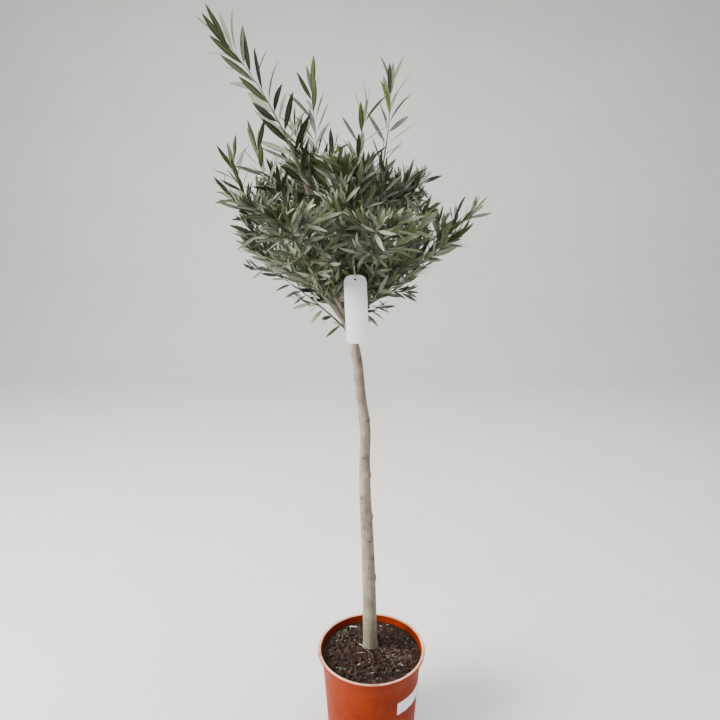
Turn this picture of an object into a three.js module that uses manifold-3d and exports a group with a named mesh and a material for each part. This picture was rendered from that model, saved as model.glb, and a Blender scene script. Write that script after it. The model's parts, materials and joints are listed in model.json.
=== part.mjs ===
// Potted olive tree: a half-standard with a clear stem, in a round nursery pot. Millimetres, +Z up.
// The origin is the centre of the pot's flat underside, and the front of the tree faces -Y.
import * as THREE from 'three';
import { mergeVertices } from 'three/addons/utils/BufferGeometryUtils.js';
import Module from 'manifold-3d';

const wasm = await Module();
wasm.setup();

// Driving dimensions

const GAP = 0.3;
const UP = new THREE.Vector3(0, 0, 1);

// The wall widens gently up to its shoulder, and faster from there to the lip.
const POT = {
  height: 270,
  footRadius: 118,
  shoulder: 222,
  shoulderRadius: 131.5,
  topRadius: 138.5,
  wall: 2.4,
  floor: 6,
  lipRadius: 145,
  lipHeight: 8,
  sides: 32,
};

const SOIL = { level: 250, mound: 6, seatRadius: 58 };

// The stem stands a little behind the middle of the pot and leans forward and to the left.
const TRUNK = {
  foot: SOIL.level + SOIL.mound + GAP,
  top: 1230,
  stations: [
    [-3, 26, 252], [-7, 21, 464], [-19, 12, 814], [-18, 10, 895],
    [-28, 8, 975], [-44, 4, 1106], [-84, 0, 1230],
  ],
  radii: [19, 17.6, 13.4, 13.4, 12.8, 12.4, 10.6],
  flare: 4.5,
  flareHeight: 34,
  sides: 10,
  ringStep: 44,
};

// Old pruning scars: height, turn from the front towards +X in degrees, and how far they stand out.
const SCARS = [
  { height: 470, turn: 80, rise: 3.0 },
  { height: 587, turn: 20, rise: 1.6 },
  { height: 652, turn: 85, rise: 3.2 },
  { height: 712, turn: -40, rise: 1.8 },
  { height: 772, turn: 70, rise: 2.4 },
  { height: 822, turn: -15, rise: 1.8 },
  { height: 922, turn: 40, rise: 2.6 },
];
const SCAR_SPREAD = 9;

// The leading shoots. Each one leaves the trunk or an earlier bough at the height foot, passes
// through via and ends at tip. Its first part, up to the share bough, is a bare limb, and the rest
// is the stem of a mass of foliage. The stem carries as many side twigs as twigs says, each about
// twig long. Leaves are about leaf long, start at the share leafy, and droop pulls them down.
const SHOOTS = [
  {
    name: 'tall_left', from: 'trunk', foot: 1222, via: [-180, 5, 1551], tip: [-318, 0, 1775],
    bough: 0.34, girth: 20, twig: 115, twigs: 1, leafy: 0.46, leaf: 100,
  },
  {
    name: 'tall_right', from: 'trunk', foot: 1192, via: [12, 20, 1480], tip: [36, 30, 1695],
    bough: 0.32, girth: 15, twig: 125, twigs: 2, leafy: 0.5, leaf: 86,
  },
  {
    name: 'back_mid', from: 'trunk', foot: 1158, via: [-80, 110, 1400], tip: [-98, 185, 1505],
    bough: 0.4, girth: 12, twig: 125, twigs: 2, leafy: 0.55, leaf: 84,
  },
  {
    name: 'front_mid', from: 'trunk', foot: 1180, via: [-50, -95, 1365], tip: [-60, -150, 1505],
    bough: 0.55, girth: 10, twig: 125, twigs: 2, leafy: 0.6, leaf: 82,
  },
  {
    name: 'left_mid', from: 'trunk', foot: 1166, via: [-215, -50, 1366], tip: [-268, -75, 1432],
    bough: 0.38, girth: 12, twig: 95, twigs: 2, leafy: 0.55, leaf: 82,
  },
  {
    name: 'right_arch', from: 'trunk', foot: 1172, via: [88, -15, 1300], tip: [218, -20, 1420],
    bough: 0.46, girth: 10, twig: 85, twigs: 1, leafy: 0.55, leaf: 74,
  },
  {
    name: 'front_left', from: 'trunk', foot: 1150, via: [-140, -140, 1335], tip: [-165, -230, 1410],
    bough: 0.44, girth: 9, twig: 120, twigs: 2, leafy: 0.55, leaf: 80,
  },
  {
    name: 'back_left', from: 'trunk', foot: 1204, via: [-165, 130, 1370], tip: [-240, 230, 1470],
    bough: 0.42, girth: 11, twig: 105, twigs: 2, leafy: 0.55, leaf: 82,
  },
  {
    name: 'low_left', from: 'trunk', foot: 1140, via: [-175, -35, 1255], tip: [-260, -60, 1305],
    bough: 0, girth: 6, twig: 75, twigs: 1, leafy: 0.4, leaf: 46, droop: 0.7,
  },
  {
    name: 'right_low', from: 'trunk', foot: 1152, via: [15, -30, 1235], tip: [75, -45, 1248],
    bough: 0, girth: 5, twig: 60, twigs: 1, leafy: 0.4, leaf: 50, droop: 0.7,
  },
  {
    name: 'upright_left', from: 'tall_left', foot: 1340, via: [-125, 35, 1520], tip: [-140, 60, 1685],
    bough: 0.2, girth: 9, twig: 115, twigs: 1, leafy: 0.42, leaf: 86,
  },
  {
    name: 'left_upper', from: 'tall_left', foot: 1380, via: [-220, -30, 1470], tip: [-250, -50, 1550],
    bough: 0.3, girth: 8, twig: 80, twigs: 1, leafy: 0.4, leaf: 82,
  },
  {
    name: 'left_top', from: 'left_mid', foot: 1270, via: [-285, 30, 1440], tip: [-318, 40, 1535],
    bough: 0.3, girth: 8, twig: 70, twigs: 1, leafy: 0.4, leaf: 74,
  },
  {
    name: 'left_side', from: 'left_mid', foot: 1244, via: [-225, 45, 1303], tip: [-290, 75, 1345],
    bough: 0.24, girth: 7, twig: 90, twigs: 1, leafy: 0.4, leaf: 74,
  },
  {
    name: 'upright_centre', from: 'tall_right', foot: 1290, via: [-40, -30, 1470], tip: [-20, -50, 1625],
    bough: 0.2, girth: 9, twig: 115, twigs: 1, leafy: 0.45, leaf: 84,
  },
  {
    name: 'right_top', from: 'tall_right', foot: 1320, via: [62, 60, 1425], tip: [106, 90, 1490],
    bough: 0.24, girth: 8, twig: 80, twigs: 1, leafy: 0.4, leaf: 76,
  },
  {
    name: 'right_mid', from: 'right_arch', foot: 1246, via: [76, -50, 1372], tip: [112, -78, 1420],
    bough: 0.22, girth: 7, twig: 80, twigs: 1, leafy: 0.4, leaf: 74,
  },
  {
    name: 'front_right', from: 'front_mid', foot: 1250, via: [-15, -140, 1350], tip: [5, -220, 1400],
    bough: 0.3, girth: 6, twig: 115, twigs: 1, leafy: 0.5, leaf: 80,
  },
  {
    name: 'back_right', from: 'back_mid', foot: 1270, via: [0, 140, 1390], tip: [60, 230, 1470],
    bough: 0.24, girth: 8, twig: 120, twigs: 1, leafy: 0.45, leaf: 82,
  },
  {
    name: 'right_back', from: 'tall_right', foot: 1250, via: [60, 75, 1310], tip: [95, 125, 1360],
    bough: 0.2, girth: 7, twig: 90, twigs: 1, leafy: 0.45, leaf: 80,
  },
  {
    name: 'upper_back_left', from: 'tall_left', foot: 1380, via: [-150, 65, 1490], tip: [-182, 105, 1595],
    bough: 0.24, girth: 8, twig: 105, twigs: 1, leafy: 0.45, leaf: 84,
  },
  {
    name: 'inner_left', from: 'trunk', foot: 1192, via: [-130, 45, 1240], tip: [-190, 85, 1280],
    bough: 0, girth: 6, twig: 105, twigs: 1, leafy: 0.5, leaf: 76,
  },
  {
    name: 'inner_right', from: 'trunk', foot: 1208, via: [-18, -40, 1258], tip: [40, -62, 1318],
    bough: 0, girth: 6, twig: 105, twigs: 1, leafy: 0.5, leaf: 76,
  },
  {
    name: 'inner_front', from: 'trunk', foot: 1208, via: [-98, -52, 1280], tip: [-112, -105, 1340],
    bough: 0, girth: 6, twig: 110, twigs: 1, leafy: 0.5, leaf: 80,
  },
  {
    name: 'inner_back', from: 'trunk', foot: 1198, via: [-92, 64, 1246], tip: [-82, 130, 1300],
    bough: 0, girth: 6, twig: 110, twigs: 1, leafy: 0.5, leaf: 78,
  },
  {
    name: 'inner_top', from: 'tall_left', foot: 1284, via: [-92, 22, 1370], tip: [-88, 20, 1450],
    bough: 0.22, girth: 7, twig: 110, twigs: 1, leafy: 0.5, leaf: 78,
  },
  {
    name: 'lower_front', from: 'front_left', foot: 1215, via: [-130, -95, 1262], tip: [-190, -120, 1310],
    bough: 0.2, girth: 6, twig: 100, twigs: 1, leafy: 0.5, leaf: 76, droop: 0.3,
  },
  {
    name: 'lower_right', from: 'right_arch', foot: 1205, via: [35, 30, 1232], tip: [90, 50, 1262],
    bough: 0.2, girth: 6, twig: 95, twigs: 1, leafy: 0.5, leaf: 72, droop: 0.3,
  },
];
const STEM = { tipRadius: 1.1, taper: 1.6, steps: 5 };
const TWIG = { rootRadius: 1.7, tipRadius: 0.9, lift: 0.45, steps: 2, trials: 16 };
const CELL_STEPS = 10;
const CELL_MARGIN = 1.1;
const REACH = 135;

const LEAF = {
  widthShare: 0.23,
  thick: 1.7,
  fold: 0.07,
  sink: 2.6,
  widest: 0.45,
  leaderGap: 52,
  twigGap: 40,
  clearance: 8,
  stagger: 2,
  angle: 42,
  roll: 1.3,
  trials: 14,
};

const TAG = {
  width: 50,
  height: 153,
  thick: 0.6,
  curl: 110,
  topCorner: 20,
  bottomCorner: 13,
  holeRadius: 2.6,
  holeDrop: 10,
  lean: 2.4,
  centre: [-39, -100, 1216],
};

const TIE = { radius: 0.8, steps: 48, sides: 4 };
const LABEL = { bottom: 148, top: 186, startTurn: 31, endTurn: 95, thick: 0.4 };

// Solids and shapes

const at = (point) => new THREE.Vector3(...point);
const { lerp, degToRad } = THREE.MathUtils;

function seeded(seed) {
  let state = seed >>> 0;
  return () => {
    state = (state + 0x6d2b79f5) >>> 0;
    let mixed = Math.imul(state ^ (state >>> 15), state | 1);
    mixed ^= mixed + Math.imul(mixed ^ (mixed >>> 7), mixed | 61);
    return ((mixed ^ (mixed >>> 14)) >>> 0) / 4294967296;
  };
}

function toSolid(geometry) {
  geometry.deleteAttribute('normal');
  geometry.deleteAttribute('uv');
  const merged = mergeVertices(geometry, 1e-4);
  return new wasm.Manifold(new wasm.Mesh({
    numProp: 3,
    vertProperties: new Float32Array(merged.attributes.position.array),
    triVerts: new Uint32Array(merged.index.array),
  }));
}

function toGeometry(solid) {
  const mesh = solid.getMesh();
  const geometry = new THREE.BufferGeometry();
  geometry.setAttribute('position', new THREE.BufferAttribute(mesh.vertProperties, 3));
  geometry.setIndex(new THREE.BufferAttribute(mesh.triVerts, 1));
  geometry.computeVertexNormals();
  return geometry;
}

// One closed skin over rings of points, which run anticlockwise seen from the far end. A loop of
// rings joins its last ring to its first.
function loft(rings, isLoop = false) {
  const sides = rings[0].length;
  const faces = [];
  const spans = isLoop ? rings.length : rings.length - 1;
  for (let ring = 0; ring < spans; ring += 1) {
    const low = ring * sides;
    const high = ((ring + 1) % rings.length) * sides;
    for (let side = 0; side < sides; side += 1) {
      const next = (side + 1) % sides;
      faces.push(low + side, low + next, high + next);
      faces.push(low + side, high + next, high + side);
    }
  }
  const last = (rings.length - 1) * sides;
  for (let side = 1; !isLoop && side + 1 < sides; side += 1) {
    faces.push(0, side + 1, side);
    faces.push(last, last + side, last + side + 1);
  }
  const geometry = new THREE.BufferGeometry();
  const positions = rings.flat().flatMap((point) => point.toArray());
  geometry.setAttribute('position', new THREE.Float32BufferAttribute(positions, 3));
  geometry.setIndex(faces);
  return geometry;
}

// Two directions square to a heading, the first as near square to the given side as can be.
function crossAxes(heading, side) {
  const first = new THREE.Vector3().crossVectors(side, heading).normalize();
  const second = new THREE.Vector3().crossVectors(heading, first).normalize();
  return [first, second];
}

function ringAt(centre, heading, side, radius, sides) {
  const [first, second] = crossAxes(heading, side);
  return Array.from({ length: sides }, (_, index) => {
    const angle = (index / sides) * Math.PI * 2;
    return centre.clone()
      .addScaledVector(first, Math.cos(angle) * radius)
      .addScaledVector(second, Math.sin(angle) * radius);
  });
}

// A tapering tube along a curve, between two shares of its length.
function taperedTube({ curve, side, radiusAt, sides, steps, start = 0, end = 1 }) {
  const rings = [];
  for (let step = 0; step <= steps; step += 1) {
    const share = lerp(start, end, step / steps);
    rings.push(ringAt(curve.getPoint(share), curve.getTangent(share), side, radiusAt(share), sides));
  }
  return loft(rings);
}

// A curve through a middle point, with a direction that is square to its plane.
function bowedCurve(start, via, tip) {
  const control = via.clone().multiplyScalar(2).sub(start.clone().add(tip).multiplyScalar(0.5));
  const curve = new THREE.QuadraticBezierCurve3(start, control, tip);
  const side = new THREE.Vector3().crossVectors(via.clone().sub(start), tip.clone().sub(via));
  if (side.length() < 1) {
    side.crossVectors(tip.clone().sub(start), new THREE.Vector3(1, 0, 0));
  }
  return { curve, side: side.normalize() };
}

function shareAtHeight(curve, height) {
  let low = 0;
  let high = 1;
  for (let round = 0; round < 30; round += 1) {
    const middle = (low + high) / 2;
    if (curve.getPoint(middle).z < height) low = middle;
    else high = middle;
  }
  return (low + high) / 2;
}

// The trunk

const trunkCurve = new THREE.CatmullRomCurve3(TRUNK.stations.map(at));

function trunkRadius(height) {
  const heights = TRUNK.stations.map(([, , z]) => z);
  let station = heights.findIndex((z) => z > height) - 1;
  if (station < 0) station = heights.length - 2;
  const share = THREE.MathUtils.clamp(
    (height - heights[station]) / (heights[station + 1] - heights[station]), 0, 1);
  const flare = TRUNK.flare * Math.max(0, 1 - (height - TRUNK.foot) / TRUNK.flareHeight) ** 2;
  return lerp(TRUNK.radii[station], TRUNK.radii[station + 1], share) + flare;
}

// How far the bark stands out at a height, in a direction turned from the front towards +X.
function scarRise(height, turn) {
  return SCARS.reduce((rise, scar) => {
    const along = (height - scar.height) / SCAR_SPREAD;
    const around = Math.cos(turn - degToRad(scar.turn));
    return rise + scar.rise * Math.exp(-along * along) * Math.max(0, around) ** 2;
  }, 0);
}

function trunkRing(height, extra) {
  const centre = trunkCurve.getPoint(shareAtHeight(trunkCurve, height));
  return Array.from({ length: TRUNK.sides }, (_, index) => {
    const angle = (index / TRUNK.sides) * Math.PI * 2;
    const radius = trunkRadius(height) + scarRise(height, angle + Math.PI / 2) + extra;
    return new THREE.Vector3(
      centre.x + Math.cos(angle) * radius, centre.y + Math.sin(angle) * radius, height);
  });
}

function trunkSolid(extra = 0) {
  const heights = [TRUNK.foot - extra, TRUNK.foot + 12, TRUNK.top + extra];
  for (let height = TRUNK.foot + TRUNK.ringStep; height < TRUNK.top - 8; height += TRUNK.ringStep) {
    heights.push(height);
  }
  SCARS.forEach((scar) => heights.push(scar.height));
  heights.sort((a, b) => a - b);
  const spaced = heights.filter((height, index) => index === 0 || height - heights[index - 1] > 3);
  return toSolid(loft(spaced.map((height) => trunkRing(height, extra))));
}

// Boughs and the cells that the masses keep to

function taperedRadius(girth, share) {
  return lerp(STEM.tipRadius, girth / 2, (1 - share) ** STEM.taper);
}

function leadingShoots() {
  const shoots = new Map();
  SHOOTS.forEach((plan, index) => {
    const parent = plan.from === 'trunk' ? { curve: trunkCurve } : shoots.get(plan.from);
    const start = parent.curve.getPoint(shareAtHeight(parent.curve, plan.foot));
    const { curve, side } = bowedCurve(start, at(plan.via), at(plan.tip));
    const radiusAt = (share) => taperedRadius(plan.girth, share);
    shoots.set(plan.name, { ...plan, index, curve, side, radiusAt });
  });
  return shoots;
}

function limbTube(shoot, extra) {
  return toSolid(taperedTube({
    curve: shoot.curve,
    side: shoot.side,
    radiusAt: (share) => shoot.radiusAt(share) + extra,
    sides: 6,
    steps: 5,
    start: 0,
    end: shoot.bough,
  }));
}

function boughSolid(shoot, shoots) {
  const parent = shoot.from === 'trunk' ? trunkSolid(GAP) : limbTube(shoots.get(shoot.from), GAP);
  return largestPart(limbTube(shoot, 0).subtract(parent));
}

function largestPart(solid) {
  const parts = solid.decompose();
  return parts.reduce((best, part) => (part.volume() > best.volume() ? part : best));
}

function polyline(curve, start, end, steps) {
  return Array.from({ length: steps + 1 }, (_, step) => curve.getPoint(lerp(start, end, step / steps)));
}

// How far a point is from the skin of a limb, or from a line where no radii are given.
function distanceTo({ line, radii }, point) {
  const nearest = new THREE.Vector3();
  let least = Infinity;
  for (let index = 0; index + 1 < line.length; index += 1) {
    new THREE.Line3(line[index], line[index + 1]).closestPointToPoint(point, true, nearest);
    least = Math.min(least, nearest.distanceTo(point) - (radii ? radii[index] : 0));
  }
  return least;
}

function limbLine(curve, start, end, steps, radiusAt) {
  const radii = Array.from({ length: steps + 1 }, (_, step) => radiusAt(lerp(start, end, step / steps)));
  return { line: polyline(curve, start, end, steps), radii };
}

// The space that the shoots share: a mass owns the points nearest its own stem, clear of the limbs,
// of the hang tag and its tie, and no further from its stem than its reach.
class CrownSpace {
  constructor(shoots) {
    const all = [...shoots.values()];
    this.stems = all.map((shoot) => {
      const line = polyline(shoot.curve, shoot.bough, 1, CELL_STEPS);
      line.push(line.at(-1).clone().addScaledVector(shoot.curve.getTangent(1), shoot.leaf));
      return { line };
    });
    this.limbs = all.filter((shoot) => shoot.bough > 0)
      .map((shoot) => limbLine(shoot.curve, 0, shoot.bough, CELL_STEPS, shoot.radiusAt));
    this.limbs.push(limbLine(trunkCurve, 0.8, 1, CELL_STEPS, () => TRUNK.radii.at(-2) + 1));
    this.limbs.push({ line: tiePath().getPoints(24), radii: new Array(25).fill(TIE.radius) });
    this.blades = [];
  }

  owns(index, point, margin) {
    const own = distanceTo(this.stems[index], point);
    if (own > REACH || inTagWindow(point)) return false;
    if (this.limbs.some((limb) => distanceTo(limb, point) < margin)) return false;
    return this.stems.every((stem, other) => other === index || distanceTo(stem, point) > own + 2 * margin);
  }

  ownsAll(index, points, margin) {
    return points.every((point) => this.owns(index, point, margin));
  }

  // Leaves stand apart from each other, all but their roots.
  takeLeaf(index, frame) {
    const probes = leafProbes(frame);
    const outer = probes.slice(3);
    const isTooNear = (blade) => outer.some((probe) => probe.distanceTo(blade) < LEAF.clearance);
    if (this.blades.some(isTooNear) || !this.ownsAll(index, probes, CELL_MARGIN)) return false;
    this.blades.push(...outer);
    return true;
  }
}

// The tag hangs in the open, with nothing before it.
function inTagWindow(point) {
  const [x, y, z] = TAG.centre;
  return point.y < y + 12
    && Math.abs(point.x - x) < TAG.width / 2 + 9
    && Math.abs(point.z - z) < TAG.height / 2 + 8;
}

// Twigs and leaves

function leafFrame({ root, heading, acrossHint, length, width }) {
  const across = acrossHint.clone().addScaledVector(heading, -acrossHint.dot(heading)).normalize();
  const face = new THREE.Vector3().crossVectors(heading, across);
  const middle = root.clone().addScaledVector(heading, length * LEAF.widest);
  const half = width / 2;
  const rise = half * LEAF.fold;
  const edge = (way) => middle.clone().addScaledVector(across, way * half).addScaledVector(face, rise);
  return {
    base: root.clone().addScaledVector(heading, -LEAF.sink),
    tip: root.clone().addScaledVector(heading, length),
    left: edge(-1),
    right: edge(1),
    upper: middle.clone().addScaledVector(face, LEAF.thick / 2),
    lower: middle.clone().addScaledVector(face, -LEAF.thick / 2),
  };
}

// A leaf of eight faces: a diamond in outline, thickest where it is widest.
function leafSolid({ base, tip, left, right, upper, lower }) {
  const corners = [base, tip, left, right, upper, lower];
  const geometry = new THREE.BufferGeometry();
  const positions = corners.flatMap((corner) => corner.toArray());
  geometry.setAttribute('position', new THREE.Float32BufferAttribute(positions, 3));
  geometry.setIndex([
    0, 2, 4, 2, 1, 4, 0, 4, 3, 4, 1, 3,
    0, 5, 2, 5, 1, 2, 0, 3, 5, 3, 1, 5,
  ]);
  return toSolid(geometry);
}

// Points over the blade, on its midrib and on both edges.
function leafProbes({ base, tip, left, right }) {
  const half = right.clone().sub(left).multiplyScalar(0.5);
  return [0.2, 0.35, LEAF.widest, 0.6, 0.75, 0.88, 1].flatMap((share) => {
    const across = share < LEAF.widest ? share / LEAF.widest : (1 - share) / (1 - LEAF.widest);
    const rib = base.clone().lerp(tip, share);
    return [-1, 0, 1].map((way) => rib.clone().addScaledVector(half, way * across));
  });
}

function turned(axes, angle) {
  return axes[0].clone().multiplyScalar(Math.cos(angle)).addScaledVector(axes[1], Math.sin(angle));
}

// Pairs of leaves along a twig, each pair turned a quarter from the last, with a pair at its tip.
// The second leaf of a pair stands a little lower, so that the two roots pass each other.
function growLeaves(twig, shoot, space, random) {
  const leaves = [];
  const count = Math.max(1, Math.round((twig.length * (twig.end - twig.start)) / twig.gap));
  for (let node = 0; node <= count; node += 1) {
    const isLast = node === count;
    const share = isLast ? 0.985 : lerp(twig.start, twig.end, (node + 0.35) / count);
    for (const second of [0, 1]) {
      const place = share - (second * LEAF.stagger) / twig.length;
      const root = twig.curve.getPoint(place);
      const axis = twig.curve.getTangent(place);
      const turn = node * (Math.PI / 2) + twig.turn + second * Math.PI;
      const site = { root, axis, axes: crossAxes(axis, twig.side), turn, isLast };
      const frame = fitLeaf(site, shoot, space, random);
      if (frame) leaves.push(leafSolid(frame));
    }
  }
  return leaves;
}

function fitLeaf({ root, axis, axes, turn, isLast }, shoot, space, random) {
  const length = shoot.leaf * lerp(0.78, 1.05, random()) * (isLast ? 0.8 : 1);
  const wanted = isLast ? 16 : LEAF.angle;
  for (let trial = 0; trial < LEAF.trials; trial += 1) {
    const angle = degToRad(wanted + lerp(-10, 12, random()) * (1 + trial * 0.2));
    const outward = turned(axes, turn + lerp(-0.25, 0.25, random()) * (1 + trial));
    const heading = axis.clone().multiplyScalar(Math.cos(angle))
      .addScaledVector(outward, Math.sin(angle))
      .addScaledVector(UP, -(shoot.droop ?? 0))
      .normalize();
    const acrossHint = new THREE.Vector3().crossVectors(axis, outward)
      .applyAxisAngle(heading, lerp(-LEAF.roll, LEAF.roll, random()));
    const size = length * (1 - trial * 0.04);
    const frame = leafFrame({ root, heading, acrossHint, length: size, width: size * LEAF.widthShare });
    if (space.takeLeaf(shoot.index, frame)) return frame;
  }
  return null;
}

// Where a side twig leaves its stem, and how long it would be with room to spare.
function twigSite(shoot, order, random) {
  const share = lerp(shoot.bough + 0.06, 0.86, (order + 0.4 + 0.3 * random()) / shoot.twigs);
  const root = shoot.curve.getPoint(share);
  const axis = shoot.curve.getTangent(share);
  const fullLength = shoot.twig * lerp(1.05, 0.6, share) * lerp(0.85, 1.1, random());
  return { root, axis, axes: crossAxes(axis, shoot.side), fullLength };
}

// A side twig slants off its stem and turns up towards the light. It is tried all round the stem,
// a little shorter each time, until it keeps to the space of its own mass.
function sideTwig(shoot, space, order) {
  const random = seeded(shoot.index * 977 + order * 131 + 7);
  const { root, axis, axes, fullLength } = twigSite(shoot, order, random);
  for (let trial = 0; trial < TWIG.trials; trial += 1) {
    const turn = order * 2.4 + shoot.index + trial * 1.1;
    const angle = degToRad(lerp(34, 62, random()));
    const half = (fullLength * (1 - trial * 0.045)) / 2;
    const heading = axis.clone().multiplyScalar(Math.cos(angle))
      .addScaledVector(turned(axes, turn), Math.sin(angle));
    const middle = root.clone().addScaledVector(heading, half);
    const upward = heading.clone().addScaledVector(UP, TWIG.lift).normalize();
    const { curve, side } = bowedCurve(root, middle, middle.clone().addScaledVector(upward, half));
    const probes = polyline(curve, 0.2, 1, 4);
    if (space.ownsAll(shoot.index, probes, CELL_MARGIN + 1)) {
      const leafTurn = random() * Math.PI;
      return { curve, side, length: half * 2, start: 0.2, end: 0.9, gap: LEAF.twigGap, turn: leafTurn };
    }
  }
  return null;
}

// Three-sided tubes read as thin as the twigs they stand for when their corners go a little past.
const THREE_SIDED = 1.2;

function massSolid(shoot, space) {
  const stemStart = shoot.bough > 0 ? shoot.bough + GAP / shoot.curve.getLength() : 0;
  const stem = toSolid(taperedTube({
    curve: shoot.curve,
    side: shoot.side,
    radiusAt: (share) => shoot.radiusAt(share) * THREE_SIDED,
    sides: 3,
    steps: STEM.steps,
    start: stemStart,
    end: 1,
  }));
  const rooted = shoot.bough > 0 ? stem : largestPart(stem.subtract(trunkSolid(GAP)));
  const leader = {
    curve: shoot.curve,
    side: shoot.side,
    length: shoot.curve.getLength(),
    start: Math.max(shoot.leafy, shoot.bough + 0.05),
    end: 0.95,
    gap: LEAF.leaderGap,
    turn: shoot.index,
  };
  const parts = [rooted, ...growLeaves(leader, shoot, space, seeded(shoot.index * 977 + 3))];
  for (let order = 0; order < shoot.twigs; order += 1) {
    const twig = sideTwig(shoot, space, order);
    if (!twig) continue;
    const radiusAt = (share) => lerp(TWIG.rootRadius, TWIG.tipRadius, share) * THREE_SIDED;
    parts.push(toSolid(taperedTube({ ...twig, start: 0, end: 1, radiusAt, sides: 3, steps: TWIG.steps })));
    parts.push(...growLeaves(twig, shoot, space, seeded(shoot.index * 977 + order * 131 + 29)));
  }
  return largestPart(wasm.Manifold.union(parts)).simplify(0.05);
}

// Pot, soil, tag, tie and label

function potWallRadius(height) {
  const { shoulder, shoulderRadius, footRadius, topRadius } = POT;
  if (height < shoulder) return lerp(footRadius, shoulderRadius, height / shoulder);
  const underLip = POT.height - POT.lipHeight;
  return lerp(shoulderRadius, topRadius, Math.min(1, (height - shoulder) / (underLip - shoulder)));
}

function lathe(profile, sides) {
  return new THREE.LatheGeometry(profile.map(([radius, z]) => new THREE.Vector2(radius, z)), sides)
    .rotateX(Math.PI / 2);
}

function potGeometry() {
  const { height, shoulder, wall, floor, topRadius, lipRadius, lipHeight } = POT;
  const underLip = height - lipHeight;
  return lathe([
    [0, 0],
    [POT.footRadius - 5, 0],
    [POT.footRadius - 1, 3],
    [potWallRadius(12), 12],
    [potWallRadius(shoulder), shoulder],
    [potWallRadius(underLip), underLip],
    [lipRadius - 1.5, underLip + 0.5],
    [lipRadius, underLip + 3],
    [lipRadius, height - 3],
    [lipRadius - 2, height],
    [topRadius + 2, height],
    [topRadius, height - 2],
    [potWallRadius(underLip) - wall, underLip - 1],
    [potWallRadius(shoulder) - wall, shoulder],
    [potWallRadius(floor) - wall, floor],
    [0, floor],
  ], POT.sides);
}

function soilGeometry() {
  const innerRadius = (z) => potWallRadius(z) - POT.wall - GAP;
  const bottom = POT.floor + GAP;
  const { level, mound, seatRadius } = SOIL;
  return lathe([
    [0, bottom],
    [innerRadius(bottom) - 1, bottom],
    [innerRadius(POT.shoulder) - 1, POT.shoulder],
    [innerRadius(level) - 1, level],
    [seatRadius + 48, level + mound * 0.2],
    [seatRadius, level + mound],
    [0, level + mound],
  ], POT.sides);
}

function tagOutline() {
  const half = TAG.width / 2;
  const top = TAG.height / 2;
  const outline = new THREE.Shape();
  outline.moveTo(-half + TAG.bottomCorner, -top);
  outline.lineTo(half - TAG.bottomCorner, -top);
  outline.quadraticCurveTo(half, -top, half, -top + TAG.bottomCorner);
  outline.lineTo(half, top - TAG.topCorner);
  outline.quadraticCurveTo(half, top, half - TAG.topCorner, top);
  outline.lineTo(-half + TAG.topCorner, top);
  outline.quadraticCurveTo(-half, top, -half, top - TAG.topCorner);
  outline.lineTo(-half, -top + TAG.bottomCorner);
  outline.quadraticCurveTo(-half, -top, -half + TAG.bottomCorner, -top);
  const hole = new THREE.Path();
  hole.absarc(0, top - TAG.holeDrop, TAG.holeRadius, 0, Math.PI * 2, true);
  outline.holes.push(hole);
  return outline;
}

// A sheet that curls gently back at both edges, trimmed to the tag's outline.
function tagGeometry() {
  const depth = 40;
  const outlineSolid = toSolid(new THREE.ExtrudeGeometry(tagOutline(), {
    depth, bevelEnabled: false, curveSegments: 6,
  }).translate(0, 0, -depth / 2).rotateX(Math.PI / 2));
  const spread = Math.asin((TAG.width / 2 + 2) / TAG.curl);
  const band = new THREE.Shape();
  band.absarc(0, 0, TAG.curl, -Math.PI / 2 - spread, -Math.PI / 2 + spread, false);
  band.absarc(0, 0, TAG.curl - TAG.thick, -Math.PI / 2 + spread, -Math.PI / 2 - spread, true);
  const sheet = toSolid(new THREE.ExtrudeGeometry(band, {
    depth: TAG.height + 10, bevelEnabled: false, curveSegments: 5,
  }).translate(0, TAG.curl, -(TAG.height + 10) / 2));
  const [x, y, z] = TAG.centre;
  return toGeometry(sheet.intersect(outlineSolid))
    .rotateY(degToRad(-TAG.lean))
    .translate(x, y, z);
}

// One loop of thin string, through the tag's hole and round the bough that carries it.
function tiePath() {
  const { knot, across, beyond, radius } = hangerFrame();
  const loopRadius = radius + TIE.radius + GAP;
  const [tagX, tagY, tagZ] = TAG.centre;
  const holeHeight = TAG.height / 2 - TAG.holeDrop;
  const rest = TAG.holeRadius - TIE.radius - GAP;
  const hole = new THREE.Vector3(
    tagX - Math.sin(degToRad(TAG.lean)) * holeHeight, tagY + TAG.thick / 2, tagZ + holeHeight + rest);
  const strand = (way) => [
    hole.clone().add(new THREE.Vector3(way * 0.2, way * -1.5, 0.9)),
    hole.clone().add(new THREE.Vector3(way * 0.4, way * -2.2, 5)),
    hole.clone().lerp(knot, 0.35).add(new THREE.Vector3(way * 1.3, way * -1.2, 0)),
    hole.clone().lerp(knot, 0.8).add(new THREE.Vector3(way * 2.4, -1, 0)),
  ];
  const round = [0, 1, 2, 3, 4, 5, 6].map((step) => {
    const angle = degToRad(-15 + step * 35);
    return knot.clone()
      .addScaledVector(across, Math.cos(angle) * loopRadius)
      .addScaledVector(beyond, Math.sin(angle) * loopRadius);
  });
  return new THREE.CatmullRomCurve3([hole, ...strand(1), ...round, ...strand(-1).reverse()], true);
}

// Where the tie goes round its bough, with the directions across the bough and to its far side.
function hangerFrame() {
  const { via, tip, girth } = SHOOTS.find((shoot) => shoot.name === 'front_mid');
  const knot = at(via);
  const along = at(tip).sub(knot).normalize();
  const beyond = new THREE.Vector3().crossVectors(along, new THREE.Vector3(1, 0, 0)).normalize();
  const across = new THREE.Vector3().crossVectors(beyond, along).normalize();
  return { knot, across, beyond, radius: taperedRadius(girth, 0.5) };
}

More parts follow.
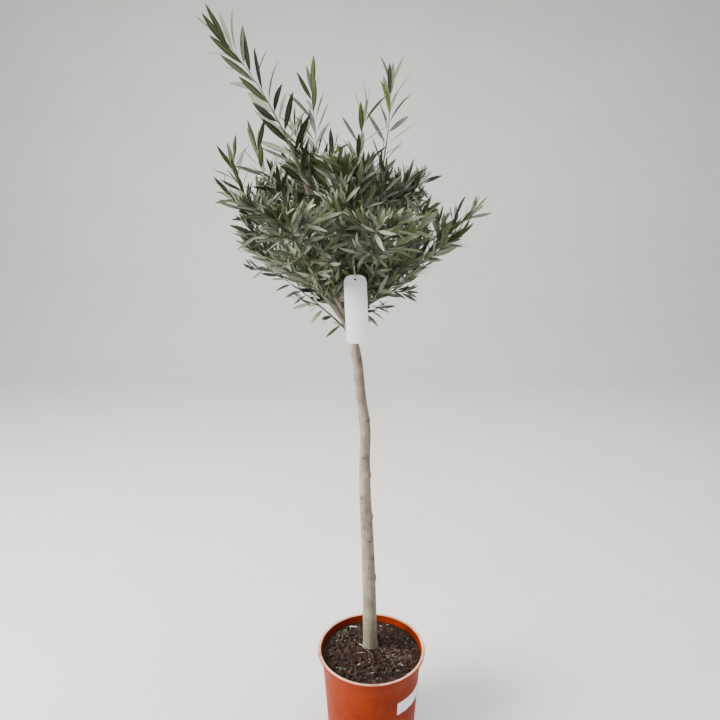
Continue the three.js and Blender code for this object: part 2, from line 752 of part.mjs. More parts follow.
function tieGeometry() {
  const path = tiePath();
  const slanted = new THREE.Vector3(1, 1, 1).normalize();
  const rings = Array.from({ length: TIE.steps }, (_, step) => {
    const share = step / TIE.steps;
    return ringAt(path.getPoint(share), path.getTangent(share), slanted, TIE.radius, TIE.sides);
  });
  return loft(rings, true);
}

// A sticker wrapped on the pot's wall, on the right of the front.
function labelGeometry() {
  const { bottom, top, startTurn, endTurn, thick } = LABEL;
  const inner = (z) => potWallRadius(z) + GAP;
  const shell = toSolid(lathe([
    [inner(bottom - 5), bottom - 5],
    [inner(bottom - 5) + thick, bottom - 5],
    [inner(top + 5) + thick, top + 5],
    [inner(top + 5), top + 5],
    [inner(bottom - 5), bottom - 5],
  ], POT.sides));
  const wedge = new THREE.Shape();
  const far = POT.lipRadius * 1.2;
  wedge.moveTo(0, 0);
  for (let step = 0; step <= 4; step += 1) {
    const angle = degToRad(lerp(startTurn, endTurn, step / 4) - 90);
    wedge.lineTo(Math.cos(angle) * far, Math.sin(angle) * far);
  }
  const slice = toSolid(new THREE.ExtrudeGeometry(wedge, {
    depth: top - bottom, bevelEnabled: false,
  }).translate(0, 0, bottom));
  return toGeometry(shell.intersect(slice));
}

// Materials and the finished tree

const FINISHES = {
  plastic: { color: 0xc4512c, roughness: 0.5 },
  soil: { color: 0x3a2b22, roughness: 0.95 },
  bark: { color: 0x8f8574, roughness: 0.85 },
  foliage: { color: 0x5a6548, roughness: 0.6 },
  tag: { color: 0xeef0f2, roughness: 0.5 },
  string: { color: 0xd8d6cc, roughness: 0.7 },
};

function piece(name, geometry, finish) {
  const material = new THREE.MeshStandardMaterial({ ...FINISHES[finish], metalness: 0 });
  const mesh = new THREE.Mesh(geometry, material);
  mesh.name = name;
  return mesh;
}

function oliveTree() {
  const tree = new THREE.Group();
  const shoots = leadingShoots();
  const space = new CrownSpace(shoots);
  tree.add(piece('pot', potGeometry(), 'plastic'));
  tree.add(piece('soil', soilGeometry(), 'soil'));
  tree.add(piece('trunk', toGeometry(trunkSolid()), 'bark'));
  for (const shoot of shoots.values()) {
    if (shoot.bough > 0) {
      tree.add(piece(`bough_${shoot.name}`, toGeometry(boughSolid(shoot, shoots)), 'bark'));
    }
    tree.add(piece(`foliage_${shoot.name}`, toGeometry(massSolid(shoot, space)), 'foliage'));
  }
  tree.add(piece('hang_tag', tagGeometry(), 'tag'));
  tree.add(piece('tag_tie', tieGeometry(), 'string'));
  tree.add(piece('pot_label', labelGeometry(), 'tag'));
  return tree;
}

export default oliveTree();
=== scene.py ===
"""Looks of a young olive tree in a round nursery pot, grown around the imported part.

Everything is in metres, in the part's own frame: +Z up, and the front of the tree faces -Y.
"""

from __future__ import annotations

import json
import logging
import math
from dataclasses import dataclass
from enum import Enum
from typing import Any, Iterable, Sequence

import bpy
import numpy as np
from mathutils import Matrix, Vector, noise

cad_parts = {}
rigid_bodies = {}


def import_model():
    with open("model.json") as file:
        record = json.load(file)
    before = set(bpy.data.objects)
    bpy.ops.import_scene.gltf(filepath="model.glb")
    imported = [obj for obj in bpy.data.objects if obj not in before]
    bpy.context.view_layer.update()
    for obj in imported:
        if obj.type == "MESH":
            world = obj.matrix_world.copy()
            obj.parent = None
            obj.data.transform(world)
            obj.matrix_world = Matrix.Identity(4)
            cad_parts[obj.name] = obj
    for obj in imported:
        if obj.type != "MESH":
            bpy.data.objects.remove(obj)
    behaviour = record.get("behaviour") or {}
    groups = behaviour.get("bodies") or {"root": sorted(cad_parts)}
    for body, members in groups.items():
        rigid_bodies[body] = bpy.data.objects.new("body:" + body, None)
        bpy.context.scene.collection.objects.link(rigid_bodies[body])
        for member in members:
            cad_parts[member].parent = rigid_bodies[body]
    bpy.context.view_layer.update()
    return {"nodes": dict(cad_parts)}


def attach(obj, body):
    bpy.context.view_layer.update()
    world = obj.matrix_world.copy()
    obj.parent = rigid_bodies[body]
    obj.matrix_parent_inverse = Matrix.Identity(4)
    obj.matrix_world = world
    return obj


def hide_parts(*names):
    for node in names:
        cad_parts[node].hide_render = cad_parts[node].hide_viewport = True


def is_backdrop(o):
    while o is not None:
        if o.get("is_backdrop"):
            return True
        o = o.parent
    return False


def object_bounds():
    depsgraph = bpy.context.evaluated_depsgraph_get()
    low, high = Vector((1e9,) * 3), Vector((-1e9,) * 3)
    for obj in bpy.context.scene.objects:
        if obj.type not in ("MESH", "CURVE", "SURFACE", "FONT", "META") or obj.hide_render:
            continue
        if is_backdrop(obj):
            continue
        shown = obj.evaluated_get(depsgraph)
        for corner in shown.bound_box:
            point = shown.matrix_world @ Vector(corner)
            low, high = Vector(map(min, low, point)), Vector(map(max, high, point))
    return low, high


LOG = logging.getLogger("olive_tree")
BODY = "root"
UP = np.array([0.0, 0.0, 1.0])
Colour = tuple[float, float, float]
Point = tuple[float, float, float]
Spot = tuple[float, float]
Pair = tuple[float, float]
Array = np.ndarray
Socket = bpy.types.NodeSocket
Outputs = bpy.types.bpy_prop_collection
Piece = bpy.types.Object

# How much finer and weaker each layer of noise is than the one before.
FINER = 2.1
WEAKER = 0.5

# A tube that starts as close to the x axis as this takes its first side from the y axis.
NEAR_AXIS = 0.8


# Small geometry helpers


def unit(vector: Array) -> Array:
    """Returns a vector, or each row of an array, at length one."""
    return vector / np.maximum(np.linalg.norm(vector, axis=-1, keepdims=True), 1e-12)


def mix(low: Any, high: Any, share: Any) -> Any:
    """Returns the value at a share of the way from low to high."""
    return low + (high - low) * share


def cross_axes(heading: Array, side: Array) -> tuple[Array, Array]:
    """Returns two directions square to a heading, the first one square to the side too."""
    first = unit(np.cross(side, heading))
    return first, unit(np.cross(heading, first))


def grid_faces(rows: int, columns: int, is_ring: bool) -> Array:
    """Lists the four-cornered faces of a grid of points.

    Args:
        rows: Number of rows of points.
        columns: Number of points in a row.
        is_ring: Whether each row joins its last point to its first.

    Returns:
        One row of four point indices for each face.
    """
    spans = columns if is_ring else columns - 1
    row, column = np.meshgrid(np.arange(rows - 1), np.arange(spans), indexing="ij")
    after = (column + 1) % columns
    corners = (row * columns + column, row * columns + after,
               (row + 1) * columns + after, (row + 1) * columns + column)
    return np.stack([corner.ravel() for corner in corners], axis=1)


def layered_noise(point: Sequence[float], scale: float, layers: int = 3) -> float:
    """Adds up smooth noise around zero, with finer and weaker layers.

    Args:
        point: The place.
        scale: How many waves of the coarsest layer fit in a metre.
        layers: How many layers are added up.

    Returns:
        The noise at the place.
    """
    total = 0.0
    strength = 1.0
    for _ in range(layers):
        total += strength * noise.noise(Vector(point) * scale)
        scale *= FINER
        strength *= WEAKER
    return total


def rotation(axis: int, angle: float) -> Array:
    """Makes the matrix of a turn about an axis.

    Args:
        axis: 0, 1 or 2 for the x, y or z axis.
        angle: How far to turn.

    Returns:
        The matrix, three by three.
    """
    first, second = (axis + 1) % 3, (axis + 2) % 3
    matrix = np.eye(3)
    matrix[first, first] = matrix[second, second] = math.cos(angle)
    matrix[first, second] = -math.sin(angle)
    matrix[second, first] = math.sin(angle)
    return matrix


class MeshBuilder:
    """Collects patches of one piece and joins them into a single mesh."""

    def __init__(self) -> None:
        """Starts with no patches."""
        self._points: list[Array] = []
        self._faces: list[Array] = []
        self._values: dict[str, list[Array]] = {}
        self._count = 0

    def add(self, points: Array, faces: Array, **values: Any) -> None:
        """Adds a patch.

        Args:
            points: One row of three coordinates for each point.
            faces: One row of three or four point indices for each face.
            **values: For each attribute, one number or one number for each point.
        """
        flat = np.asarray(points, dtype=float).reshape(-1, 3)
        self._points.append(flat)
        self._faces.append(np.asarray(faces) + self._count)
        for name, value in values.items():
            spread = np.broadcast_to(np.asarray(value, dtype=float).ravel(), (len(flat),))
            self._values.setdefault(name, []).append(spread)
        self._count += len(flat)

    def build(self, name: str, is_smooth: bool = True) -> Piece:
        """Makes the Blender object.

        Args:
            name: Name of the object and of its mesh.
            is_smooth: Whether the faces are shaded smoothly.

        Returns:
            The object, linked to the scene.
        """
        mesh = bpy.data.meshes.new(name)
        faces = [tuple(face) for patch in self._faces for face in patch.tolist()]
        mesh.from_pydata(np.concatenate(self._points).tolist(), [], faces)
        for attribute, patches in self._values.items():
            layer = mesh.attributes.new(attribute, "FLOAT", "POINT")
            layer.data.foreach_set("value", np.concatenate(patches).astype(np.float32))
        mesh.validate()
        if is_smooth:
            mesh.shade_smooth()
        else:
            mesh.shade_flat()
        piece = bpy.data.objects.new(name, mesh)
        bpy.context.scene.collection.objects.link(piece)
        return piece


def hand_over(piece: Piece, finish: Finish, *nodes: str) -> None:
    """Dresses a piece, sets it on the part's body in place of its nodes, and logs it.

    Args:
        piece: The finished piece.
        finish: What it is dressed in.
        *nodes: Names of the part's nodes.
    """
    finish.dress(piece)
    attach(piece, BODY)
    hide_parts(*nodes)
    LOG.info("%s: %d faces, for %d nodes", piece.name, len(piece.data.polygons), len(nodes))


def tube_points(centres: Array, radii: Array, sides: int) -> Array:
    """Lays rings of points along a line, with no twist from one ring to the next.

    Args:
        centres: The line's points, from its root to its tip.
        radii: Radius at each of them.
        sides: Number of points in a ring.

    Returns:
        An array of rings, sides and coordinates.
    """
    headings = unit(np.gradient(centres, axis=0))
    is_along_x = abs(headings[0][0]) >= NEAR_AXIS
    reference = np.array([0.0, 1.0, 0.0] if is_along_x else [1.0, 0.0, 0.0])
    angles = np.arange(sides) / sides * math.tau
    rings = []
    for centre, heading, radius in zip(centres, headings, radii):
        second = unit(np.cross(heading, reference))
        reference = unit(np.cross(second, heading))
        around = np.outer(np.cos(angles), reference) + np.outer(np.sin(angles), second)
        rings.append(centre + around * radius)
    return np.array(rings)


def smooth_line(points: Sequence[Point], steps: int) -> Array:
    """Draws a smooth line through points.

    Args:
        points: The points that the line passes through.
        steps: How many steps it takes between each two of them.

    Returns:
        The line's points.
    """
    known = np.array(points, dtype=float)
    padded = np.vstack([2 * known[0] - known[1], known, 2 * known[-1] - known[-2]])
    line = []
    for before, start, end, after in zip(padded, padded[1:], padded[2:], padded[3:]):
        for share in np.linspace(0, 1, steps, endpoint=False):
            line.append(0.5 * (2 * start + (end - before) * share
                               + (2 * before - 5 * start + 4 * end - after) * share ** 2
                               + (3 * start - before - 3 * end + after) * share ** 3))
    return np.array([*line, known[-1]])


# Shader groups and finishes


class Group(Enum):
    """Effects that several materials place with their own values."""

    MOTTLE = "mottled_colour"
    RELIEF = "fine_relief"
    DUST = "dust_film"
    BLADE = "leaf_blade"


class NodeCanvas:
    """Adds and joins the nodes of one material or group."""

    def __init__(self, tree: bpy.types.NodeTree) -> None:
        """Draws on the given node tree."""
        self.tree = tree

    def join(self, source: Socket, target: Socket) -> None:
        """Joins an output to an input."""
        self.tree.links.new(source, target)

    def add(self, kind: str, inputs: dict[int | str, Any] | None = None, **settings: Any) -> Outputs:
        """Adds a node.

        Args:
            kind: The node's type.
            inputs: For each input, a link, a plain colour or another value.
            **settings: The properties to set before that.

        Returns:
            The node's outputs.
        """
        node = self.tree.nodes.new(kind)
        for name, value in settings.items():
            setattr(node, name, value)
        for key, value in (inputs or {}).items():
            socket = node.inputs[key]
            if isinstance(value, bpy.types.NodeSocket):
                self.join(value, socket)
            elif isinstance(value, tuple) and socket.type == "RGBA":
                socket.default_value = (*value, 1.0)
            else:
                socket.default_value = value
        return node.outputs

    def math(self, operation: str, first: Any, second: Any = 0.0) -> Socket:
        """Returns the result of a sum on two values, each a link or a number."""
        return self.add("ShaderNodeMath", {0: first, 1: second}, operation=operation)[0]

    def times(self, first: Any, second: Any) -> Socket:
        """Returns the product of two values, each a link or a number."""
        return self.math("MULTIPLY", first, second)

    def plus(self, first: Any, second: Any) -> Socket:
        """Returns two values added up, each a link or a number."""
        return self.math("ADD", first, second)

    def blend(self, share: Any, low: Any, high: Any) -> Socket:
        """Returns a colour between two colours, each a link or a plain colour."""
        return self.add("ShaderNodeMix", {0: share, 6: low, 7: high}, data_type="RGBA")[2]

    def span(self, value: Any, low: Any, high: Any, start: float = 0.0, end: float = 1.0) -> Socket:
        """Returns a value stretched from low..high to start..end, and held there."""
        inputs = dict(enumerate((value, low, high, start, end)))
        return self.add("ShaderNodeMapRange", inputs, clamp=True)[0]

    def place(self) -> Socket:
        """Returns the point's place in the object, in metres."""
        return self.add("ShaderNodeTexCoord")["Object"]

    def attribute(self, name: str) -> Socket:
        """Returns the value of one of the mesh's attributes."""
        return self.add("ShaderNodeAttribute", attribute_name=name)["Fac"]

    def noise(self, scale: Any, detail: float, roughness: float, vector: Any = None) -> Socket:
        """Returns noise from 0 to 1 at the given place, or at the point's own."""
        return self.add("ShaderNodeTexNoise", {"Vector": vector or self.place(), "Scale": scale,
                                               "Detail": detail, "Roughness": roughness})["Fac"]

    def spots(self, scale: Any, vector: Any = None) -> Socket:
        """Returns the distance from the nearest of many scattered spots."""
        inputs = {"Vector": vector or self.place(), "Scale": scale}
        return self.add("ShaderNodeTexVoronoi", inputs, feature="F1")["Distance"]

    def stretched(self, x: float, y: float, z: float) -> Socket:
        """Returns the point's place, stretched by a factor along each axis."""
        return self.add("ShaderNodeMapping", {"Vector": self.place(), "Scale": (x, y, z)})["Vector"]

    def upright(self, vector: Socket) -> Socket:
        """Returns a vector's share along the z axis."""
        return self.add("ShaderNodeSeparateXYZ", {"Vector": vector})["Z"]


class GroupLibrary:
    """Builds each shader group once and places it in materials."""

    def __init__(self) -> None:
        """Builds every group."""
        self._trees: dict[Group, bpy.types.NodeTree] = {}
        self._mottle()
        self._relief()
        self._dust()
        self._blade()

    def put(self, canvas: NodeCanvas, group: Group, **inputs: Any) -> Outputs:
        """Places a group with a material's own values, named with _ for spaces, and returns its outputs."""
        values = {name.replace("_", " "): value for name, value in inputs.items()}
        return canvas.add("ShaderNodeGroup", values, node_tree=self._trees[group])

    def _open(self, group: Group, inputs: dict[str, Any],
              outputs: Sequence[str]) -> tuple[NodeCanvas, Any, Any]:
        """Starts a group's tree.

        Args:
            group: The group to start.
            inputs: For each input, the colour or the number that it starts with.
            outputs: Names of the outputs. Colour is a colour, and the others are numbers.

        Returns:
            The canvas, the sockets of the inputs, and the sockets that the outputs take.
        """
        tree = self._trees[group] = bpy.data.node_groups.new(group.value, "ShaderNodeTree")
        for name, value in inputs.items():
            kind = "NodeSocketColor" if isinstance(value, tuple) else "NodeSocketFloat"
            socket = tree.interface.new_socket(name, in_out="INPUT", socket_type=kind)
            socket.default_value = (*value, 1.0) if isinstance(value, tuple) else value
        for name in outputs:
            kind = "NodeSocketColor" if name == "Colour" else "NodeSocketFloat"
            tree.interface.new_socket(name, in_out="OUTPUT", socket_type=kind)
        canvas = NodeCanvas(tree)
        return canvas, canvas.add("NodeGroupInput"), tree.nodes.new("NodeGroupOutput").inputs

    def _mottle(self) -> None:
        """Builds patches of a lighter colour over a darker one, coarse and fine together."""
        canvas, given, result = self._open(
            Group.MOTTLE,
            {"Dark": (0.1, 0.1, 0.1), "Light": (0.5, 0.5, 0.5), "Scale": 30.0, "Low": 0.35, "High": 0.65},
            ("Colour", "Mask"),
        )
        coarse = canvas.noise(given["Scale"], 4.0, 0.6)
        fine = canvas.noise(canvas.times(given["Scale"], 5.3), 3.0, 0.6)
        both = canvas.plus(canvas.times(coarse, 0.7), canvas.times(fine, 0.3))
        mask = canvas.span(both, given["Low"], given["High"])
        canvas.join(canvas.blend(mask, given["Dark"], given["Light"]), result["Colour"])
        canvas.join(mask, result["Mask"])

    def _relief(self) -> None:
        """Builds a fine relief of grains with pits between them."""
        canvas, given, result = self._open(Group.RELIEF, {"Scale": 400.0, "Pits": 0.3}, ("Height",))
        grain = canvas.noise(given["Scale"], 4.0, 0.6)
        pits = canvas.times(canvas.spots(canvas.times(given["Scale"], 0.6)), given["Pits"])
        canvas.join(canvas.math("SUBTRACT", grain, pits), result["Height"])

    def _dust(self) -> None:
        """Builds a film of dust that gathers in patches, most of it on faces that look up."""
        canvas, given, result = self._open(
            Group.DUST,
            {"Base": (0.5, 0.5, 0.5), "Dust": (0.6, 0.55, 0.5), "Amount": 0.3, "Scale": 14.0},
            ("Colour", "Mask"),
        )
        normal = canvas.add("ShaderNodeNewGeometry")["Normal"]
        upward = canvas.span(canvas.upright(normal), 0.50, 1.0)
        patches = canvas.span(canvas.noise(given["Scale"], 6.0, 0.65), 0.30, 0.66, 0.25, 1.0)
        mask = canvas.times(canvas.times(patches, upward), given["Amount"])
        canvas.join(canvas.blend(mask, given["Base"], given["Dust"]), result["Colour"])
        canvas.join(mask, result["Mask"])

    def _blade(self) -> None:
        """Builds a leaf blade's colour and relief: its midrib, faint side veins and mottling."""
        canvas, given, result = self._open(
            Group.BLADE,
            {"Deep": (0.05, 0.07, 0.03), "Pale": (0.2, 0.2, 0.1), "Rib": (0.3, 0.35, 0.2),
             "Rib Width": 0.09},
            ("Colour", "Height"),
        )
        across = canvas.math("ABSOLUTE", canvas.attribute("across"))
        along = canvas.attribute("along")
        patches = canvas.noise(160.0, 3.0, 0.6)
        shade = canvas.plus(canvas.times(canvas.attribute("tone"), 0.75), canvas.times(patches, 0.4))
        ground = canvas.blend(canvas.span(shade, 0.15, 1.0), given["Deep"], given["Pale"])
        rib = canvas.math("SUBTRACT", 1.0, canvas.math("DIVIDE", across, given["Rib Width"]))
        rib_mask = canvas.span(rib, 0.0, 0.6)
        slant = canvas.math("SUBTRACT", canvas.times(along, 78.0), canvas.times(across, 9.0))
        veins = canvas.times(canvas.math("SINE", slant), 0.12)
        canvas.join(canvas.blend(canvas.times(rib_mask, 0.7), ground, given["Rib"]), result["Colour"])
        canvas.join(canvas.math("SUBTRACT", veins, rib_mask), result["Height"])


class Finish:
    """A material that a piece is dressed in."""

    name: str
    slot = ""
    roughness = 0.6
    specular = 0.5

    def __init__(self, groups: GroupLibrary) -> None:
        """Builds the material with the shared groups.

        Args:
            groups: The shared groups.
        """
        self.groups = groups
        self.material = bpy.data.materials.new(self.name)
        self.material.use_nodes = True
        self.canvas = NodeCanvas(self.material.node_tree)
        self.shader = next(n for n in self.canvas.tree.nodes if n.type == "BSDF_PRINCIPLED")
        self.shader.inputs["Roughness"].default_value = self.roughness
        self.shader.inputs["Specular IOR Level"].default_value = self.specular
        self.draw()

    def draw(self) -> None:
        """Draws the nodes that make this finish."""
        raise NotImplementedError

    def mottle(self, dark: Colour, light: Colour, **values: float) -> Outputs:
        """Places two mottled colours in this finish and returns the group's outputs."""
        return self.groups.put(self.canvas, Group.MOTTLE, Dark=dark, Light=light, **values)

    def relief(self, scale: float, pits: float) -> Socket:
        """Returns the height of the fine relief, placed in this finish."""
        return self.groups.put(self.canvas, Group.RELIEF, Scale=scale, Pits=pits)["Height"]

    def colour(self, socket: Socket) -> None:
        """Joins a colour to the shader."""
        self.canvas.join(socket, self.shader.inputs["Base Color"])

    def rough(self, socket: Socket) -> None:
        """Joins a roughness that changes over the surface to the shader."""
        self.canvas.join(socket, self.shader.inputs["Roughness"])

    def bump(self, height: Socket, distance: float, strength: float = 1.0) -> None:
        """Joins a relief of the given depth in metres to the shader."""
        inputs = {"Strength": strength, "Distance": distance, "Height": height}
        self.canvas.join(self.canvas.add("ShaderNodeBump", inputs)["Normal"], self.shader.inputs["Normal"])

    def dress(self, piece: Piece) -> None:
        """Puts the material on a piece, in place of what it had.

        Args:
            piece: The piece to dress.
        """
        piece.data.materials.clear()
        piece.data.materials.append(self.material)


class PotPlastic(Finish):
    """Terracotta orange plastic with a satin shine, fine moulding grain, and a pale film on the lip that is
    partly dust and partly a painted highlight.
    """

    name = "pot_plastic"
    slot = "pot_plastic"
    roughness = 0.4
    specular = 0.06
    dark_orange = (0.165, 0.016, 0.0028)
    orange = (0.285, 0.030, 0.0045)
    scuff_tint = (0.50, 0.10, 0.035)
    # Pale tint on the lip's upward faces, partly dust and partly a painted highlight.
    dust_tint = (1.0, 0.62, 0.46)

    def draw(self) -> None:
        """Draws mottled orange, pale dust and a painted highlight on the lip's upward faces, and faint
        upright scuffs on the wall.
        """
        canvas = self.canvas
        base = self.mottle(self.dark_orange, self.orange, Scale=9.0, Low=0.3, High=0.7)
        scuffs = canvas.noise(60.0, 5.0, 0.7, canvas.stretched(3.0, 3.0, 0.35))
        scuff_mask = canvas.span(scuffs, 0.62, 0.8, 0.0, 0.10)
        scuffed = canvas.blend(scuff_mask, base["Colour"], self.scuff_tint)
        # Pale film on upward faces: partly dust, partly a painted highlight along the lip's top.
        dust_and_highlight = self.groups.put(canvas, Group.DUST, Base=scuffed, Dust=self.dust_tint, Amount=0.90,
                                Scale=20.0)
        self.colour(dust_and_highlight["Colour"])
        worn = canvas.span(scuffs, 0.4, 0.8, 0.40, 0.55)
        self.rough(canvas.plus(worn, canvas.times(dust_and_highlight["Mask"], 0.3)))
        self.bump(self.relief(scale=700.0, pits=0.4), 0.0002, 0.6)


class Mottled(Finish):
    """A finish of two mottled colours over a fine relief.

    scale and span are how fine the mottling is and where in its noise it turns from dark to light.
    rough_span is the roughness of the dark and of the light, and grain the relief's scale, pits
    and depth in metres.
    """

    dark: Colour
    light: Colour
    scale: float
    span: Pair
    rough_span: Pair
    grain: Point

    def cover(self, colour: Socket) -> Socket:
        """Returns the colour with what lies over it."""
        return colour

    def draw(self) -> None:
        """Draws the mottling, what lies over it, the roughness and the relief."""
        low, high = self.span
        base = self.mottle(self.dark, self.light, Scale=self.scale, Low=low, High=high)
        self.colour(self.cover(base["Colour"]))
        self.rough(self.canvas.span(base["Mask"], 0.0, 1.0, *self.rough_span))
        scale, pits, depth = self.grain
        self.bump(self.relief(scale, pits), depth)


class Compost(Mottled):
    """Dark damp bark compost, coarse and fine together."""

    name = "compost"
    slot = "compost"
    roughness = 0.9
    specular = 0.15
    dark = (0.006, 0.003, 0.002)
    light = (0.042, 0.021, 0.013)
    scale = 70.0
    span = (0.38, 0.68)
    rough_span = (0.72, 0.95)
    grain = (340.0, 0.9, 0.0016)


class ChipBark(Finish):
    """Flakes of composted bark, each with its own tone."""

    name = "bark_chips"
    slot = "compost"
    roughness = 0.82
    specular = 0.2
    near_black = (0.009, 0.005, 0.004)
    red_brown = (0.064, 0.034, 0.023)
    pale_brown = (0.13, 0.085, 0.062)
    grain_tint = (0.012, 0.008, 0.007)

    def draw(self) -> None:
        """Draws flakes from near black to red brown, with grain along them."""
        canvas = self.canvas
        tone = canvas.attribute("tone")
        ground = canvas.blend(canvas.span(tone, 0.0, 0.75), self.near_black, self.red_brown)
        pale = canvas.blend(canvas.span(tone, 0.90, 1.0), ground, self.pale_brown)
        grain = canvas.noise(420.0, 4.0, 0.65)
        self.colour(canvas.blend(canvas.span(grain, 0.4, 0.75, 0.0, 0.5), pale, self.grain_tint))
        self.rough(canvas.span(grain, 0.3, 0.7, 0.7, 0.92))
        self.bump(grain, 0.0008)


class LooseBits(Finish):
    """Small loose bits on the compost, each with its own tone, and specks on them.

    speck_span is where the specks begin and end in their noise, speck_share how strong they are,
    and rough_span the roughness from the smoothest place to the roughest.
    """

    slot = "compost"
    low_tone: Colour
    high_tone: Colour
    speck_tint: Colour
    speck_scale = 300.0
    speck_span = (0.5, 0.75)
    speck_share = 0.3
    rough_span: Pair
    depth = 0.0003

    def draw(self) -> None:
        """Draws a tone for each bit, with specks, roughness and relief from one noise."""
        canvas = self.canvas
        ground = canvas.blend(canvas.attribute("tone"), self.low_tone, self.high_tone)
        specks = canvas.noise(self.speck_scale, 3.0, 0.6)
        mask = canvas.span(specks, *self.speck_span, 0.0, self.speck_share)
        self.colour(canvas.blend(mask, ground, self.speck_tint))
        self.rough(canvas.span(specks, 0.3, 0.7, *self.rough_span))
        self.bump(specks, self.depth)


class DryBits(LooseBits):
    """Pale dry twig ends and straws that lie on the compost, greyer where they are weathered."""

    name = "dry_bits"
    roughness = 0.75
    low_tone = (0.034, 0.021, 0.015)
    high_tone = (0.66, 0.57, 0.46)
    speck_tint = (0.16, 0.12, 0.09)
    speck_span = (0.45, 0.7)
    speck_share = 0.45
    rough_span = (0.6, 0.85)
    depth = 0.0004


class GreenBits(LooseBits):
    """Small green leaves and moss on the compost."""

    name = "green_bits"
    low_tone = (0.008, 0.026, 0.014)
    high_tone = (0.115, 0.155, 0.050)
    speck_tint = (0.22, 0.25, 0.13)
    speck_scale = 500.0
    rough_span = (0.45, 0.7)


class Bark(Finish):
    """Smooth grey-beige bark that turns to darker green-grey skin on the younger shoots, and partly on the
    thicker boughs as painted shade.
    """

    name = "olive_bark"
    slot = "bark"
    roughness = 0.78
    dark_beige = (0.150, 0.118, 0.086)
    beige = (0.40, 0.335, 0.265)
    streak_tint = (0.105, 0.082, 0.062)
    moss_tint = (0.215, 0.220, 0.130)
    scar_tint = (0.085, 0.063, 0.048)
    dark_skin = (0.050, 0.046, 0.032)
    skin = (0.170, 0.160, 0.118)

    def draw(self) -> None:
        """Draws upright streaks, pale lenticels, green at the foot, and dark round old scars."""
        canvas = self.canvas
        base = self.mottle(self.dark_beige, self.beige, Scale=30.0, Low=0.34, High=0.64)
        streaks = canvas.noise(90.0, 4.0, 0.65, canvas.stretched(1.6, 1.6, 0.16))
        streak_mask = canvas.span(streaks, 0.48, 0.74, 0.0, 0.7)
        streaked = canvas.blend(streak_mask, base["Colour"], self.streak_tint)
        low_down = canvas.span(canvas.upright(canvas.place()), 0.25, 0.62, 1.0, 0.0)
        moss = canvas.times(low_down, canvas.span(canvas.noise(26.0, 4.0, 0.6), 0.3, 0.62, 0.25, 0.75))
        mossy = canvas.blend(moss, streaked, self.moss_tint)
        scar_mask = canvas.span(canvas.attribute("scar"), 0.15, 0.9, 0.0, 0.8)
        scarred = canvas.blend(scar_mask, mossy, self.scar_tint)
        shoots = self.mottle(self.dark_skin, self.skin, Scale=120.0, Low=0.3, High=0.7)
        # The youth attribute blends in the darker shoot skin: young skin on twigs, partly painted shade on
        # the boughs.
        self.colour(canvas.blend(canvas.attribute("youth"), scarred, shoots["Colour"]))
        specks = canvas.spots(230.0, canvas.stretched(1.0, 1.0, 1.7))
        lenticels = canvas.span(specks, 0.12, 0.3, 0.5, 0.0)
        height = canvas.plus(self.relief(scale=420.0, pits=0.5), lenticels)
        self.rough(canvas.span(streaks, 0.3, 0.8, 0.7, 0.88))
        self.bump(canvas.plus(height, canvas.times(streaks, 1.2)), 0.0007)


@dataclass(frozen=True)
class LeafTint:
    """Colours of one age of leaf."""

    name: str
    deep: Colour
    pale: Colour
    rib: Colour
    under_deep: Colour
    under_pale: Colour
    upper_roughness: float


class LeafAge(Enum):
    """Ages of leaf, each with its colours."""

    OLD = LeafTint("leaf_old", (0.012, 0.019, 0.008), (0.082, 0.098, 0.040), (0.21, 0.23, 0.13),
                   (0.074, 0.084, 0.052), (0.360, 0.378, 0.268), 0.38)
    GROWN = LeafTint("leaf_grown", (0.019, 0.031, 0.009), (0.122, 0.148, 0.045), (0.28, 0.31, 0.15),
                     (0.042, 0.050, 0.030), (0.380, 0.400, 0.275), 0.40)
    YOUNG = LeafTint("leaf_young", (0.036, 0.053, 0.009), (0.128, 0.153, 0.028), (0.27, 0.30, 0.12),
                     (0.046, 0.058, 0.028), (0.230, 0.252, 0.145), 0.40)


class LeafBlade(Finish):
    """A leathery olive leaf: green above, silvery below."""

    slot = "foliage"
    under_roughness = 0.75
    upper_rib = 0.10
    under_rib = 0.14

    def __init__(self, groups: GroupLibrary, age: LeafAge) -> None:
        """Builds the material in the colours of one age.

        Args:
            groups: The shared groups.
            age: The age whose colours it takes.
        """
        self.tint = age.value
        self.name = self.tint.name
        self.roughness = self.tint.upper_roughness
        super().__init__(groups)

    def draw(self) -> None:
        """Draws both sides of the blade and chooses by the side that is seen."""
        canvas, tint = self.canvas, self.tint
        upper = self.groups.put(canvas, Group.BLADE, Deep=tint.deep, Pale=tint.pale, Rib=tint.rib,
                                Rib_Width=self.upper_rib)
        under = self.groups.put(canvas, Group.BLADE, Deep=tint.under_deep, Pale=tint.under_pale,
                                Rib=tint.under_pale, Rib_Width=self.under_rib)
        back = canvas.add("ShaderNodeNewGeometry")["Backfacing"]
        self.colour(canvas.blend(back, upper["Colour"], under["Colour"]))
        self.rough(canvas.span(back, 0.0, 1.0, self.roughness, self.under_roughness))
        self.bump(upper["Height"], 0.0004, 0.7)


class TagCard(Mottled):
    """White plastic-coated card, blank, with soft smudges."""

    name = "tag_card"
    slot = "tag_card"
    roughness = 0.45
    dark = (0.82, 0.87, 0.93)
    light = (0.92, 0.94, 0.97)
    dirt = (0.36, 0.33, 0.33)
    scale = 16.0
    span = (0.3, 0.6)
    rough_span = (0.5, 0.36)
    grain = (160.0, 0.1, 0.00025)

    def cover(self, colour: Socket) -> Socket:
        """Returns the colour with a few specks of compost on it."""
        specks = self.canvas.span(self.canvas.spots(70.0), 0.05, 0.11, 0.5, 0.0)
        return self.canvas.blend(specks, colour, self.dirt)


